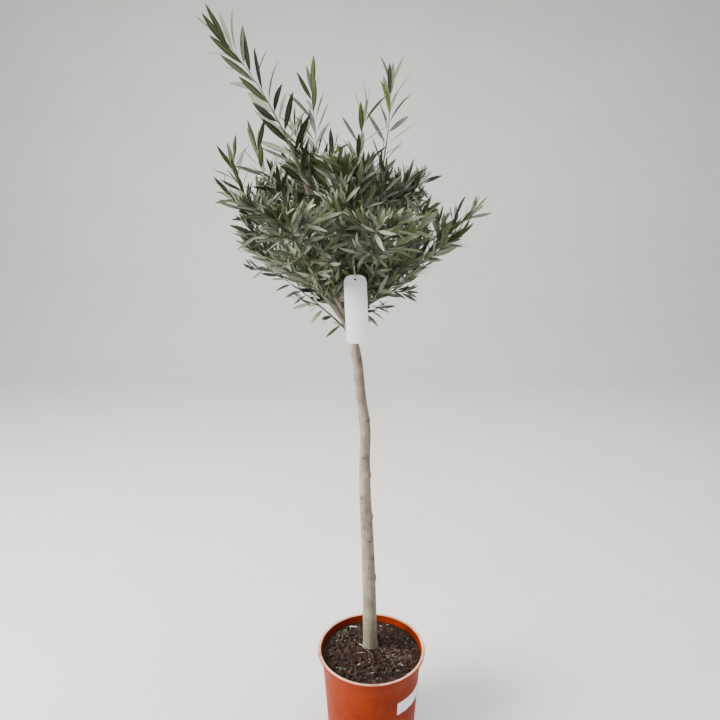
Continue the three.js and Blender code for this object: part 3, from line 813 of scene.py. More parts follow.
class LabelPaper(Mottled):
    """White sticker paper, blank, slightly rubbed."""

    name = "label_paper"
    slot = "label_paper"
    roughness = 0.6
    dark = (0.80, 0.79, 0.85)
    light = (0.93, 0.92, 0.94)
    dust_tint = (0.55, 0.45, 0.40)
    scale = 45.0
    span = (0.3, 0.55)
    rough_span = (0.7, 0.52)
    grain = (380.0, 0.2, 0.0002)

    def cover(self, colour: Socket) -> Socket:
        """Returns the colour under a film of dust."""
        return self.groups.put(self.canvas, Group.DUST, Base=colour, Dust=self.dust_tint, Amount=0.4,
                               Scale=60.0)["Colour"]


class Twine(Mottled):
    """Thin pale string of two twisted strands, darker where it is handled."""

    name = "tag_string"
    slot = "string"
    roughness = 0.8
    dark = (0.46, 0.43, 0.37)
    light = (0.78, 0.75, 0.68)
    scale = 160.0
    span = (0.35, 0.6)
    rough_span = (0.9, 0.7)
    grain = (1500.0, 0.3, 0.0002)


class PaleFloor(Finish):
    """Plain pale studio floor."""

    name = "studio_floor"
    roughness = 0.85
    warm_grey = (0.74, 0.72, 0.69)
    warm_white = (0.80, 0.78, 0.75)

    def draw(self) -> None:
        """Draws a warm white with hardly any change over it."""
        base = self.mottle(self.warm_grey, self.warm_white, Scale=2.0, Low=0.3, High=0.7)
        self.colour(base["Colour"])


# Pot and compost


@dataclass(frozen=True)
class PotSize:
    """Sizes of the pot. Its wall widens faster from its shoulder to its lip.

    A bend in the wall reaches as far as bend to either side. The lip is rounded by round_out
    sideways and round_up upwards, and rolls over into the pot by the radius roll.
    """

    height: float = 0.270
    foot_radius: float = 0.118
    underside: float = 0.060
    heel: float = 0.012
    wall_foot: float = 0.03
    shoulder: float = 0.222
    shoulder_radius: float = 0.1315
    top_radius: float = 0.1385
    wall: float = 0.0024
    floor: float = 0.006
    floor_curve: float = 0.004
    bend: float = 0.006
    lip_radius: float = 0.145
    lip_height: float = 0.008
    round_out: float = 0.0030
    round_up: float = 0.0034
    roll: float = 0.003

    def outer(self, height: float) -> float:
        """Returns the wall's outer radius at a height."""
        heights = (0.0, self.shoulder, self.height - self.lip_height)
        return float(np.interp(height, heights, (self.foot_radius, self.shoulder_radius, self.top_radius)))

    def inner(self, height: float) -> float:
        """Returns the wall's inner radius at a height."""
        return self.outer(height) - self.wall


class Pot:
    """The round pot, with its rolled lip and rounded foot.

    foot_edge and lip_edge each hold how far a point is set in from the foot's or the lip's radius,
    and its height over the underside of the foot or of the lip.
    """

    sides = 160
    foot_edge = ((0.006, 0.0), (0.0035, 0.0006), (0.0012, 0.003))
    lip_edge = ((0.0022, 0.0003), (0.0006, 0.0014), (0.0, 0.0030))
    lip_root = 0.0012
    sharp_angle = 50

    def __init__(self, size: PotSize) -> None:
        """Takes the pot's sizes."""
        self.size = size

    def _lip(self, under: float) -> list[Pair]:
        """Lists radius and height over the rolled lip, from the wall outside to the wall inside.

        Args:
            under: Height of the lip's underside.

        Returns:
            The points, each a radius and a height.
        """
        size = self.size
        lip = [(size.outer(under) + self.lip_root, under)]
        lip += [(size.lip_radius - inset, under + rise) for inset, rise in self.lip_edge]
        middle, level = size.lip_radius - size.round_out, size.height - size.round_up
        for angle in np.radians(np.linspace(0, 90, 7)):
            lip.append((middle + size.round_out * math.cos(angle), level + size.round_up * math.sin(angle)))
        middle, level = size.inner(size.height) + size.roll, size.height - size.roll
        for angle in np.radians(np.linspace(90, 180, 5)):
            lip.append((middle + size.roll * math.cos(angle), level + size.roll * math.sin(angle)))
        return lip

    def _profile(self) -> list[Pair]:
        """Lists radius and height from the middle of the underside, over the lip, to the inner floor.

        Returns:
            The points, each a radius and a height.
        """
        size = self.size
        under_lip = size.height - size.lip_height
        foot = [(0.0, 0.0), (size.underside, 0.0)]
        foot += [(size.foot_radius - inset, rise) for inset, rise in self.foot_edge]
        heights = (size.heel, *np.linspace(size.wall_foot, size.shoulder - size.bend, 7), size.shoulder,
                   *np.linspace(size.shoulder + size.bend, under_lip - 0.001, 5))
        wall = [(size.outer(z), z) for z in heights]
        inner = [(size.inner(z), z) for z in np.linspace(under_lip, size.floor + size.bend, 7)]
        floor = [(size.inner(size.floor) - size.floor_curve, size.floor), (0.0, size.floor)]
        return foot + wall + self._lip(under_lip) + inner + floor

    def build(self) -> Piece:
        """Turns the profile into the pot.

        Returns:
            The pot.
        """
        profile = np.array(self._profile())
        angles = np.arange(self.sides) / self.sides * math.tau
        radius = profile[:, :1]
        heights = np.broadcast_to(profile[:, 1:], (len(profile), self.sides))
        points = np.stack([radius * np.cos(angles), radius * np.sin(angles), heights], axis=2)
        builder = MeshBuilder()
        builder.add(points, grid_faces(len(profile), self.sides, True))
        piece = builder.build("pot_shell")
        piece.data.set_sharp_from_angle(angle=math.radians(self.sharp_angle))
        return piece

    def make(self, groups: GroupLibrary) -> None:
        """Builds and hands over the pot."""
        hand_over(self.build(), PotPlastic(groups), "pot")


@dataclass(frozen=True)
class Straw:
    """A straw or twig end on the compost: its middle, half its length, its turn, radius and tone."""

    middle: Spot
    half: float
    turn: float
    radius: float
    tone: float


LAID_STRAWS = (
    Straw((-0.0327, 0.0258), 0.0205, -0.88, 0.0012, 0.80),
    Straw((-0.0070, -0.0052), 0.0185, -0.87, 0.0019, 0.05),
    Straw((-0.0510, 0.1005), 0.0150, -0.08, 0.0016, 1.00),
    Straw((-0.0282, -0.0091), 0.0100, 0.10, 0.0007, 0.70),
    Straw((-0.0389, -0.0485), 0.0085, 0.12, 0.0009, 0.90),
    Straw((0.0830, -0.0500), 0.0110, -0.95, 0.0006, 0.75),
)


@dataclass(frozen=True)
class StrawKind:
    """A kind of scattered straw: how many there are, and from what to what each measure goes."""

    count: int
    halves: Pair
    radii: Pair
    tones: Pair


@dataclass(frozen=True)
class CompostSize:
    """Sizes of the compost and of what lies on it.

    clumps and grit are the coarse and the fine waves of the surface: their height, and how many
    fit in a metre. A chip is as long as chip_length[0] and up to chip_length[1] more, and short
    ones are the most, by chip_power. Its width and height are shares of its length. chip_off and
    straw_off are how far chips and straws keep off the middle of the stem.
    """

    level: float = 0.250
    wall_gap: float = 0.0006
    mound: float = 0.006
    mound_reach: float = 0.070
    mound_centre: Spot = (-0.003, 0.026)
    seat_radius: float = 0.030
    clumps: Pair = (0.0028, 46.0)
    grit: Pair = (0.0016, 150.0)
    skirt_depth: float = 0.028
    skirt_gap: float = 0.001
    chips: int = 1500
    chip_length: Pair = (0.0022, 0.0105)
    chip_power: float = 2.2
    chip_widths: Pair = (0.3, 0.75)
    chip_heights: Pair = (0.2, 0.5)
    chip_corners: tuple[int, int] = (5, 8)
    chip_lift: float = 0.3
    chip_tilt: float = 0.6
    chip_off: float = 0.024
    off_wall: float = 0.002
    straws: StrawKind = StrawKind(14, (0.003, 0.009), (0.0004, 0.0007), (0.2, 0.9))
    straw_off: float = 0.034
    straw_off_wall: float = 0.004
    fibres: StrawKind = StrawKind(150, (0.002, 0.007), (0.0002, 0.0004), (0.1, 0.75))
    fibre_spread: float = 0.020
    fibre_nests: tuple[Spot, ...] = (
        (0.050, -0.009), (0.072, -0.040), (-0.010, -0.090), (-0.100, 0.038))
    greens: int = 48
    green_lengths: Pair = (0.005, 0.013)
    green_spread: float = 0.008
    green_tilt: float = 0.8
    green_nests: tuple[Spot, ...] = (
        (0.104, 0.036), (0.096, 0.056), (-0.081, -0.069), (-0.066, 0.072))


class CompostBed:
    """Bark compost that fills the pot, with loose flakes, straws and green bits on it.

    flake_rims holds the height and the spread of a flake's three rims, and flake_ends the heights
    of the middles of its two faces. straw_shape holds a straw's thickness along its length.
    """

    rings = 64
    sides = 190
    seed = 412
    flake_rims = ((-0.5, 0.8), (0.1, 1.0), (0.5, 0.7))
    flake_ends = (-0.6, 0.62)
    straw_shape = (0.7, 1, 1, 1.1, 1, 0.9, 0.6)
    straw_sides = 6
    straw_lift = 0.0022
    green_lift = 0.003

    def __init__(self, size: CompostSize, pot: PotSize) -> None:
        """Takes the sizes of the compost and of the pot that holds it.

        Args:
            size: Sizes of the compost.
            pot: Sizes of the pot.
        """
        self.size = size
        self.pot = pot
        self.radius = pot.inner(size.level) - size.wall_gap
        self.random = np.random.default_rng(self.seed)

    def height(self, x: float, y: float) -> float:
        """Returns the height of the surface at a place, with its clumps.

        Args:
            x: How far right the place is.
            y: How far back it is.

        Returns:
            The height above the pot's underside.
        """
        size = self.size
        radius = math.dist((x, y), size.mound_centre)
        share = min(1.0, max(0.0, (radius - size.seat_radius) / size.mound_reach))
        mound = size.mound * (1 - share) ** 1.5
        coarse = size.clumps[0] * layered_noise((x, y, 0.3), size.clumps[1])
        fine = size.grit[0] * layered_noise((x, y, 2.0), size.grit[1], 2)
        return size.level + mound + (coarse + fine) * min(1.0, 0.3 + radius / size.seat_radius)

    def build_bed(self) -> Piece:
        """Builds the surface and its hidden skirt down the inside of the pot.

        Returns:
            The bed.
        """
        angles = np.arange(self.sides) / self.sides * math.tau
        radii = self.radius * np.linspace(0.004, 1.0, self.rings) ** 0.9
        places = [[(r * math.cos(a), r * math.sin(a)) for a in angles] for r in radii]
        points = np.array([[(x, y, self.height(x, y)) for x, y in ring] for ring in places])
        depth = self.size.skirt_depth
        shrink = (self.pot.inner(self.size.level - depth) - self.size.skirt_gap) / self.radius
        skirt = points[-1] * (shrink, shrink, 1.0) - (0.0, 0.0, depth)
        faces = grid_faces(self.rings + 1, self.sides, True)[:, ::-1]
        builder = MeshBuilder()
        builder.add(np.concatenate([points, skirt[None]]), faces)
        return builder.build("compost_bed")

    def _is_on_bed(self, x: float, y: float, margin: float, keep_off: float) -> bool:
        """Tells whether a place is off the wall by a margin and off the middle of the stem."""
        is_inside = math.hypot(x, y) < self.radius - margin
        return is_inside and math.dist((x, y), self.size.mound_centre) > keep_off

    def _place(self, margin: float, keep_off: float) -> Spot:
        """Draws a place on the compost.

        Args:
            margin: How far off the wall the place is.
            keep_off: How far off the middle of the stem it is.

        Returns:
            The place.
        """
        while True:
            x, y = self.random.uniform(margin - self.radius, self.radius - margin, 2)
            if self._is_on_bed(x, y, margin, keep_off):
                return x, y

    def _near(self, nests: Sequence[Spot], spread: float, margin: float) -> Spot:
        """Draws a place near one of the nests and off the stem.

        Args:
            nests: Places to choose from.
            spread: How far round a nest places scatter.
            margin: How far off the wall the place is.

        Returns:
            The place.
        """
        while True:
            x, y = np.array(nests[self.random.integers(len(nests))]) + self.random.normal(0, spread, 2)
            if self._is_on_bed(x, y, margin, self.size.seat_radius):
                return x, y

    def _flake(self, size: Array, corners: int) -> tuple[Array, Array]:
        """Shapes one irregular flake: rims with a broken edge between, and rounded faces.

        Args:
            size: The flake's length, width and thickness.
            corners: How many corners its outline has.

        Returns:
            Its points and its triangles.
        """
        angles = (np.arange(corners) + self.random.uniform(-0.3, 0.3, corners)) / corners * math.tau
        reach = self.random.uniform(0.7, 1.1, corners)
        rims = []
        for height, spread in self.flake_rims:
            wobble = self.random.uniform(-0.18, 0.18, corners)
            rims.append(np.stack([np.cos(angles) * reach * spread, np.sin(angles) * reach * spread,
                                  np.full(corners, height) + wobble], axis=1))
        ends = np.array([[0.0, 0.0, end] for end in self.flake_ends])
        points = np.concatenate([*rims, ends]) * size
        walls = grid_faces(len(rims), corners, True)
        triangles = [wall[[0, 1, 2]] for wall in walls] + [wall[[0, 2, 3]] for wall in walls]
        bottom = len(rims) * corners
        last = bottom - corners
        for corner in range(corners):
            after = (corner + 1) % corners
            triangles.append((after, corner, bottom))
            triangles.append((last + corner, last + after, bottom + 1))
        return points, np.array(triangles)

    def _turned(self, points: Array, tilt: float) -> Array:
        """Turns points about the upright and tips them by up to a tilt."""
        turn, tip, lean = self.random.uniform(0, math.tau), *self.random.uniform(-tilt, tilt, 2)
        return points @ (rotation(2, turn) @ rotation(0, tip) @ rotation(1, lean)).T

    def build_chips(self) -> Piece:
        """Scatters flakes of bark, small ones the most.

        Returns:
            The flakes.
        """
        builder = MeshBuilder()
        size = self.size
        shortest, spread = size.chip_length
        for _ in range(size.chips):
            length = shortest + spread * self.random.uniform() ** size.chip_power
            width = length * self.random.uniform(*size.chip_widths)
            thickness = length * self.random.uniform(*size.chip_heights)
            points, faces = self._flake(np.array([length, width, thickness]),
                                        int(self.random.integers(*size.chip_corners)))
            x, y = self._place(length + size.off_wall, size.chip_off)
            base = np.array([x, y, self.height(x, y) + thickness * size.chip_lift])
            patch = float(np.clip(0.5 + 0.9 * layered_noise((x, y, 5.0), 30.0), 0, 1))
            tone = self.random.uniform() * mix(0.45, 1.0, patch)
            builder.add(self._turned(points, size.chip_tilt) + base, faces, tone=tone)
        return builder.build("bark_flakes", is_smooth=False)

    def _draw_straw(self, kind: StrawKind, middle: Spot, half: float) -> Straw:
        """Draws the turn, the radius and the tone of a straw of a kind."""
        turn = self.random.uniform(0, math.tau)
        return Straw(middle, half, turn, self.random.uniform(*kind.radii), self.random.uniform(*kind.tones))

    def build_straws(self) -> Piece:
        """Lays the larger straws and twig ends, and scatters small ones and nests of fine fibres.

        Returns:
            The straws.
        """
        builder = MeshBuilder()
        for straw in LAID_STRAWS:
            self._add_straw(builder, straw)
        size = self.size
        for _ in range(size.straws.count):
            half = self.random.uniform(*size.straws.halves)
            middle = self._place(half + size.straw_off_wall, size.straw_off)
            self._add_straw(builder, self._draw_straw(size.straws, middle, half))
        for _ in range(size.fibres.count):
            half = self.random.uniform(*size.fibres.halves)
            middle = self._near(size.fibre_nests, size.fibre_spread, half + size.straw_off_wall)
            self._add_straw(builder, self._draw_straw(size.fibres, middle, half))
        return builder.build("dry_straws")

    def _add_straw(self, builder: MeshBuilder, straw: Straw) -> None:
        """Lays one straw across the clumps, a little bent.

        Args:
            builder: The mesh that it goes into.
            straw: The straw.
        """
        along = np.array([math.cos(straw.turn), math.sin(straw.turn)])
        sideways = np.array([-along[1], along[0]]) * self.random.uniform(-0.2, 0.2) * straw.half
        count = len(self.straw_shape)
        line = []
        for share in np.linspace(-1, 1, count):
            x, y = np.array(straw.middle) + along * share * straw.half + sideways * (1 - share ** 2)
            line.append((x, y, self.height(x, y) + straw.radius + self.straw_lift))
        rings = tube_points(np.array(line), straw.radius * np.array(self.straw_shape), self.straw_sides)
        builder.add(rings, grid_faces(count, self.straw_sides, True), tone=straw.tone)

    def build_greens(self) -> Piece:
        """Scatters small green leaves in tufts near the wall.

        Returns:
            The green bits.
        """
        builder = MeshBuilder()
        for _ in range(self.size.greens):
            length = self.random.uniform(*self.size.green_lengths)
            margin = length + self.size.off_wall
            x, y = self._near(self.size.green_nests, self.size.green_spread, margin)
            half, width, lift = length * 0.5, length * 0.22, 0.1 * length
            blade = np.array([[0, 0, 0], [half, width, lift], [half, -width, lift],
                              [length, 0, 0.3 * length]])
            base = np.array([x, y, self.height(x, y) + self.green_lift])
            builder.add(self._turned(blade, self.size.green_tilt) + base, np.array([[0, 2, 1], [1, 2, 3]]),
                        tone=self.random.uniform() ** 3)
        return builder.build("green_tufts")

    def make(self, groups: GroupLibrary) -> None:
        """Builds and hands over the compost and what lies on it.

        Args:
            groups: The shared groups.
        """
        for build, finish in ((self.build_bed, Compost), (self.build_chips, ChipBark),
                              (self.build_straws, DryBits), (self.build_greens, GreenBits)):
            hand_over(build(), finish(groups), "soil")


# Stem, boughs and leading shoots


@dataclass(frozen=True)
class Shoot:
    """One leading shoot: a bare limb first, and then the stem of a mass of foliage.

    The shoot leaves its parent at the height foot, passes through via and ends at tip. Sizes are in
    millimetres, as the part has them. bough is the share of its length that is a bare limb.
    """

    name: str
    parent: str
    foot: float
    via: Point
    tip: Point
    bough: float
    girth: float
    twig: float
    leaf: float
    droop: float = 0.0


SHOOTS = (
    Shoot("tall_left", "trunk", 1222, (-180, 5, 1551), (-318, 0, 1775), 0.34, 20, 115, 100),
    Shoot("tall_right", "trunk", 1192, (12, 20, 1480), (36, 30, 1695), 0.32, 15, 125, 86),
    Shoot("back_mid", "trunk", 1158, (-80, 110, 1400), (-98, 185, 1505), 0.4, 12, 125, 84),
    Shoot("front_mid", "trunk", 1180, (-50, -95, 1365), (-60, -150, 1505), 0.55, 10, 125, 82),
    Shoot("left_mid", "trunk", 1166, (-215, -50, 1366), (-268, -75, 1432), 0.38, 12, 95, 82),
    Shoot("right_arch", "trunk", 1172, (88, -15, 1300), (218, -20, 1420), 0.46, 10, 85, 74),
    Shoot("front_left", "trunk", 1150, (-140, -140, 1335), (-165, -230, 1410), 0.44, 9, 120, 80),
    Shoot("back_left", "trunk", 1204, (-165, 130, 1370), (-240, 230, 1470), 0.42, 11, 105, 82),
    Shoot("low_left", "trunk", 1140, (-175, -35, 1255), (-260, -60, 1305), 0.0, 6, 75, 46, 0.7),
    Shoot("right_low", "trunk", 1152, (15, -30, 1235), (75, -45, 1248), 0.0, 5, 60, 50, 0.7),
    Shoot("upright_left", "tall_left", 1340, (-125, 35, 1520), (-140, 60, 1685), 0.2, 9, 115, 86),
    Shoot("left_upper", "tall_left", 1380, (-220, -30, 1470), (-250, -50, 1550), 0.3, 8, 80, 82),
    Shoot("left_top", "left_mid", 1270, (-285, 30, 1440), (-318, 40, 1535), 0.3, 8, 70, 74),
    Shoot("left_side", "left_mid", 1244, (-225, 45, 1303), (-290, 75, 1345), 0.24, 7, 90, 74),
    Shoot("upright_centre", "tall_right", 1290, (-40, -30, 1470), (-20, -50, 1625), 0.2, 9, 115, 84),
    Shoot("right_top", "tall_right", 1320, (62, 60, 1425), (106, 90, 1490), 0.24, 8, 80, 76),
    Shoot("right_mid", "right_arch", 1246, (76, -50, 1372), (112, -78, 1420), 0.22, 7, 80, 74),
    Shoot("front_right", "front_mid", 1250, (-15, -140, 1350), (5, -220, 1400), 0.3, 6, 115, 80),
    Shoot("back_right", "back_mid", 1270, (0, 140, 1390), (60, 230, 1470), 0.24, 8, 120, 82),
    Shoot("right_back", "tall_right", 1250, (60, 75, 1310), (95, 125, 1360), 0.2, 7, 90, 80),
    Shoot("upper_back_left", "tall_left", 1380, (-150, 65, 1490), (-182, 105, 1595), 0.24, 8, 105, 84),
    Shoot("inner_left", "trunk", 1192, (-130, 45, 1240), (-190, 85, 1280), 0.0, 6, 105, 76),
    Shoot("inner_right", "trunk", 1208, (-18, -40, 1258), (40, -62, 1318), 0.0, 6, 105, 76),
    Shoot("inner_front", "trunk", 1208, (-98, -52, 1280), (-112, -105, 1340), 0.0, 6, 110, 80),
    Shoot("inner_back", "trunk", 1198, (-92, 64, 1246), (-82, 130, 1300), 0.0, 6, 110, 78),
    Shoot("inner_top", "tall_left", 1284, (-92, 22, 1370), (-88, 20, 1450), 0.22, 7, 110, 78),
    Shoot("lower_front", "front_left", 1215, (-130, -95, 1262), (-190, -120, 1310), 0.2, 6, 100, 76, 0.3),
    Shoot("lower_right", "right_arch", 1205, (35, 30, 1232), (90, 50, 1262), 0.2, 6, 95, 72, 0.3),
)


class Bow:
    """A bowed line through a middle point, from a start to a tip.

    Its side is square to its plane. A line that bows less than least_bow counts as straight.
    """

    least_bow = 1e-6
    samples = 40

    def __init__(self, start: Array, via: Array, tip: Array) -> None:
        """Takes the three points, in metres.

        Args:
            start: Where the line starts.
            via: A point that it passes in the middle.
            tip: Where it ends.
        """
        self.start = start
        self.control = 2 * via - 0.5 * (start + tip)
        self.tip = tip
        side = np.cross(via - start, tip - via)
        if np.linalg.norm(side) < self.least_bow:
            side = np.cross(tip - start, [1.0, 0.0, 0.0])
        self.side = unit(side)
        line = self.points(np.linspace(0, 1, self.samples))
        self.length = float(np.linalg.norm(np.diff(line, axis=0), axis=1).sum())

    def points(self, shares: Any) -> Array:
        """Returns the points at shares of the way along."""
        t = np.atleast_1d(shares)[:, None]
        return (1 - t) ** 2 * self.start + 2 * t * (1 - t) * self.control + t ** 2 * self.tip

    def point(self, share: float) -> Array:
        """Returns the point at one share of the way along."""
        return self.points(share)[0]

    def heading(self, share: float) -> Array:
        """Returns the direction at one share of the way along."""
        return unit(2 * (1 - share) * (self.control - self.start) + 2 * share * (self.tip - self.control))


@dataclass(frozen=True)
class TrunkSize:
    """Sizes of the stem: the place of its middle and its radius, by height."""

    foot: float = 0.2545
    top: float = 1.230
    heights: tuple[float, ...] = (0.252, 0.464, 0.814, 0.895, 0.975, 1.106, 1.230)
    places: tuple[Spot, ...] = (
        (-0.003, 0.026), (-0.007, 0.021), (-0.019, 0.012), (-0.018, 0.010),
        (-0.028, 0.008), (-0.044, 0.004), (-0.084, 0.0))
    radii: tuple[float, ...] = (0.019, 0.0176, 0.0134, 0.0134, 0.0128, 0.0124, 0.0106)
    flare: float = 0.0030
    flare_height: float = 0.034


@dataclass(frozen=True)
class Scar:
    """An old pruning scar: its height, its turn from the front in degrees, and how far it stands out."""

    height: float
    turn: float
    rise: float


SCARS = (
    Scar(0.470, 80, 0.0030),
    Scar(0.587, 20, 0.0016),
    Scar(0.652, 85, 0.0032),
    Scar(0.712, -40, 0.0018),
    Scar(0.772, 70, 0.0024),
    Scar(0.822, -15, 0.0018),
    Scar(0.922, 40, 0.0026),
)


class Trunk:
    """The clear stem, from the compost to the fork.

    Rings of points stand spacing apart. A scar is a knob of the height scar_height with a dent of
    the share dent in it and a low ridge above it. The stem's foot has flutes up to flute_height,
    and all of it swells a little and has fine streaks. dome holds the widths of the rings that
    round off its top, as shares of the stem's, and dome_height how high they rise.
    """

    sides = 120
    spacing = 0.003
    scar_height = 0.008
    dent = 0.35
    ridge = 0.0007
    flutes = 0.0009
    flute_height = 0.09
    swell = 0.0008
    streak = 0.00022
    dome = (0.9, 0.72, 0.45, 0.1)
    dome_height = 0.006
    dome_heading = (-0.2, 0.0, 1.0)

    def __init__(self, size: TrunkSize) -> None:
        """Takes the stem's sizes."""
        self.size = size

    def centre(self, height: float) -> Array:
        """Finds the middle of the stem at a height, on a smooth line through its stations.

        Args:
            height: The height.

        Returns:
            The point.
        """
        heights, places = self.size.heights, np.array(self.size.places)
        slopes = np.gradient(places, heights, axis=0)
        low = int(np.clip(np.searchsorted(heights, height) - 1, 0, len(heights) - 2))
        span = heights[low + 1] - heights[low]
        t = (height - heights[low]) / span
        middle = ((1 + 2 * t) * (1 - t) ** 2 * places[low] + t * (1 - t) ** 2 * span * slopes[low]
                  + t * t * (3 - 2 * t) * places[low + 1] + t * t * (t - 1) * span * slopes[low + 1])
        return np.array([*middle, height])

    def radius(self, height: float) -> float:
        """Returns the stem's plain radius at a height."""
        flare = self.size.flare * max(0.0, 1 - (height - self.size.foot) / self.size.flare_height) ** 2
        return float(np.interp(height, self.size.heights, self.size.radii)) + flare

    def _scar(self, height: float, turn: float) -> Pair:
        """Works out how the scars shape and mark a place.

        Args:
            height: The place's height.
            turn: Its turn round the stem from the front.

        Returns:
            How far the bark stands out there, and how much it is scarred from 0 to 1.
        """
        rise = 0.0
        mark = 0.0
        for scar in SCARS:
            along = (height - scar.height) / self.scar_height
            around = max(0.0, math.cos(turn - math.radians(scar.turn)))
            knob = math.exp(-along * along) * around ** 3
            dent = self.dent * math.exp(-(along * 2.6) ** 2) * around ** 12
            ridge = math.exp(-(along * 2.2 - 1.5) ** 2) * (0.25 + 0.75 * around)
            rise += scar.rise * (knob - dent) + self.ridge * ridge
            mark = max(mark, math.exp(-(along * 1.7) ** 2) * around ** 8)
        return rise, mark

    def _ring(self, height: float) -> tuple[Array, Array]:
        """Lays out the bark at a height.

        Args:
            height: The height.

        Returns:
            The points round the stem, and how much each is scarred.
        """
        centre = self.centre(height)
        points = []
        marks = []
        fluting = max(0.0, 1 - (height - self.size.foot) / self.flute_height) ** 2
        for index in range(self.sides):
            angle = index / self.sides * math.tau
            x, y = math.cos(angle), math.sin(angle)
            rise, mark = self._scar(height, angle + math.pi / 2)
            swell = self.swell * noise.noise(Vector((x * 0.6, y * 0.6, height * 6)) * 1.3)
            streak = self.streak * layered_noise((x * 2.4, y * 2.4, height * 9), 3.0)
            flutes = fluting * self.flutes * math.cos(3 * angle + 0.8)
            radius = self.radius(height) + rise + swell + streak + flutes
            points.append(centre + np.array([x, y, 0]) * radius)
            marks.append(mark)
        return np.array(points), np.array(marks)

    def build(self) -> Piece:
        """Builds the stem with its bark's relief and a rounded top under the fork.

        Returns:
            The stem.
        """
        count = int((self.size.top - self.size.foot) / self.spacing)
        rings, marks = zip(*(self._ring(z) for z in np.linspace(self.size.foot, self.size.top, count)))
        rings, marks = list(rings), list(marks)
        top = self.centre(self.size.top)
        for share in self.dome:
            lift = np.array(self.dome_heading) * self.dome_height * math.sqrt(1 - share ** 2)
            rings.append(top + (rings[count - 1] - top) * share + lift)
            marks.append(marks[-1])
        builder = MeshBuilder()
        faces = grid_faces(len(rings), self.sides, True)
        builder.add(np.array(rings), faces, scar=np.array(marks), youth=0.0)
        return builder.build("stem_bark")

    def make(self, bark: Bark) -> None:
        """Builds and hands over the stem."""
        hand_over(self.build(), bark, "trunk")


class Limb:
    """A leading shoot's wood, from inside its parent to its tip.

    Rings of points stand about spacing apart. The wood widens by collar at its root and by knuckle
    at each node. Its skin is bark where it is thicker than youth_and_shade_radius, and turns to the darker
    young skin as it thins by youth_span, but never less than least_youth of the way. On the boughs that
    darker skin is partly painted shade under the crown.
    """

    sides = 18
    spacing = 0.0045
    least_rings = 24
    tip_radius = 0.0011
    collar = 0.4
    collar_reach = 3.2
    knuckle = 0.10
    knuckle_reach = 0.0035
    node_spacing = 0.034
    relief = 0.07
    relief_scale = 210.0
    youth_and_shade_radius = 0.0090
    youth_span = 0.0060
    least_youth = 0.35
    samples = 400

    def __init__(self, shoot: Shoot, start: Array) -> None:
        """Takes the shoot and the point on its parent's axis where it starts."""
        self.shoot = shoot
        self.line = Bow(start, np.array(shoot.via) / 1000, np.array(shoot.tip) / 1000)

    def radius(self, share: float) -> float:
        """Returns the wood's radius at a share of the way along, thinner where leaves grow."""
        leafy = max(0.0, share - self.shoot.bough)
        return mix(self.tip_radius, self.shoot.girth / 2000, (1 - share) ** 1.6) / (1 + 1.5 * leafy)

    def at_height(self, height: float) -> Array:
        """Returns the first point of the axis at a height."""
        points = self.line.points(np.linspace(0, 1, self.samples))
        return points[int(np.argmax(points[:, 2] >= height))]

    def add_to(self, builder: MeshBuilder) -> None:
        """Adds the wood, with its collar, its nodes and its relief.

        Args:
            builder: The mesh that it goes into.
        """
        steps = max(self.least_rings, int(self.line.length / self.spacing))
        shares = np.linspace(0, 1, steps)
        points = self.line.points(shares)
        radii = np.array([self.radius(share) for share in shares])
        distance = shares * self.line.length
        collar = 1 + self.collar * np.exp(-(distance / (self.collar_reach * radii[0])) ** 2)
        from_node = (distance % self.node_spacing - self.node_spacing / 2) / self.knuckle_reach
        knuckles = 1 + self.knuckle * np.exp(-from_node ** 2)
        rings = tube_points(points, radii * collar * knuckles, self.sides)
        axis = points[:, None, :]
        rough = np.array([[layered_noise(point * (1.0, 1.0, 0.4), self.relief_scale, 2) for point in ring]
                          for ring in rings])
        rings = axis + (rings - axis) * (1 + self.relief * rough[:, :, None])
        # Young skin on thin wood; on the thicker boughs this darkening is partly painted shade under the
        # crown.
        youth = np.clip((self.youth_and_shade_radius - radii) / self.youth_span, self.least_youth, 1)
        builder.add(rings, grid_faces(steps, self.sides, True), scar=0.0,
                    youth=np.repeat(youth, self.sides))


class Wood:
    """All the leading shoots, each started on its parent."""

    def __init__(self, trunk: Trunk) -> None:
        """Works out every shoot's line from the stem outwards.

        Args:
            trunk: The stem that the first shoots leave.
        """
        self.limbs: dict[str, Limb] = {}
        for shoot in SHOOTS:
            is_off_trunk = shoot.parent == "trunk"
            centre_at = trunk.centre if is_off_trunk else self.limbs[shoot.parent].at_height
            self.limbs[shoot.name] = Limb(shoot, centre_at(shoot.foot / 1000))

    def build(self) -> Piece:
        """Builds the wood of all the leading shoots as one mesh.

        Returns:
            The wood.
        """
        builder = MeshBuilder()
        for limb in self.limbs.values():
            limb.add_to(builder)
        return builder.build("bough_bark")

    def make(self, bark: Bark, boughs: Sequence[str]) -> None:
        """Builds and hands over the boughs."""
        hand_over(self.build(), bark, *boughs)


# Crown


@dataclass(frozen=True)
class TagSize:
    """Sizes of the hang tag, the place of its middle, and the window round it that stays clear.

    The window is wider than the tag by aside at each side and higher by ends at each end. Over it
    lies the string's own window, string_half to each side and string_height high. Both windows
    reach back from the front to the distance behind, past the tag's middle.
    """

    width: float = 0.050
    height: float = 0.153
    centre: Point = (-0.039, -0.100, 1.216)
    aside: float = 0.008
    ends: float = 0.006
    behind: float = 0.012
    string_half: float = 0.007
    string_height: float = 0.032


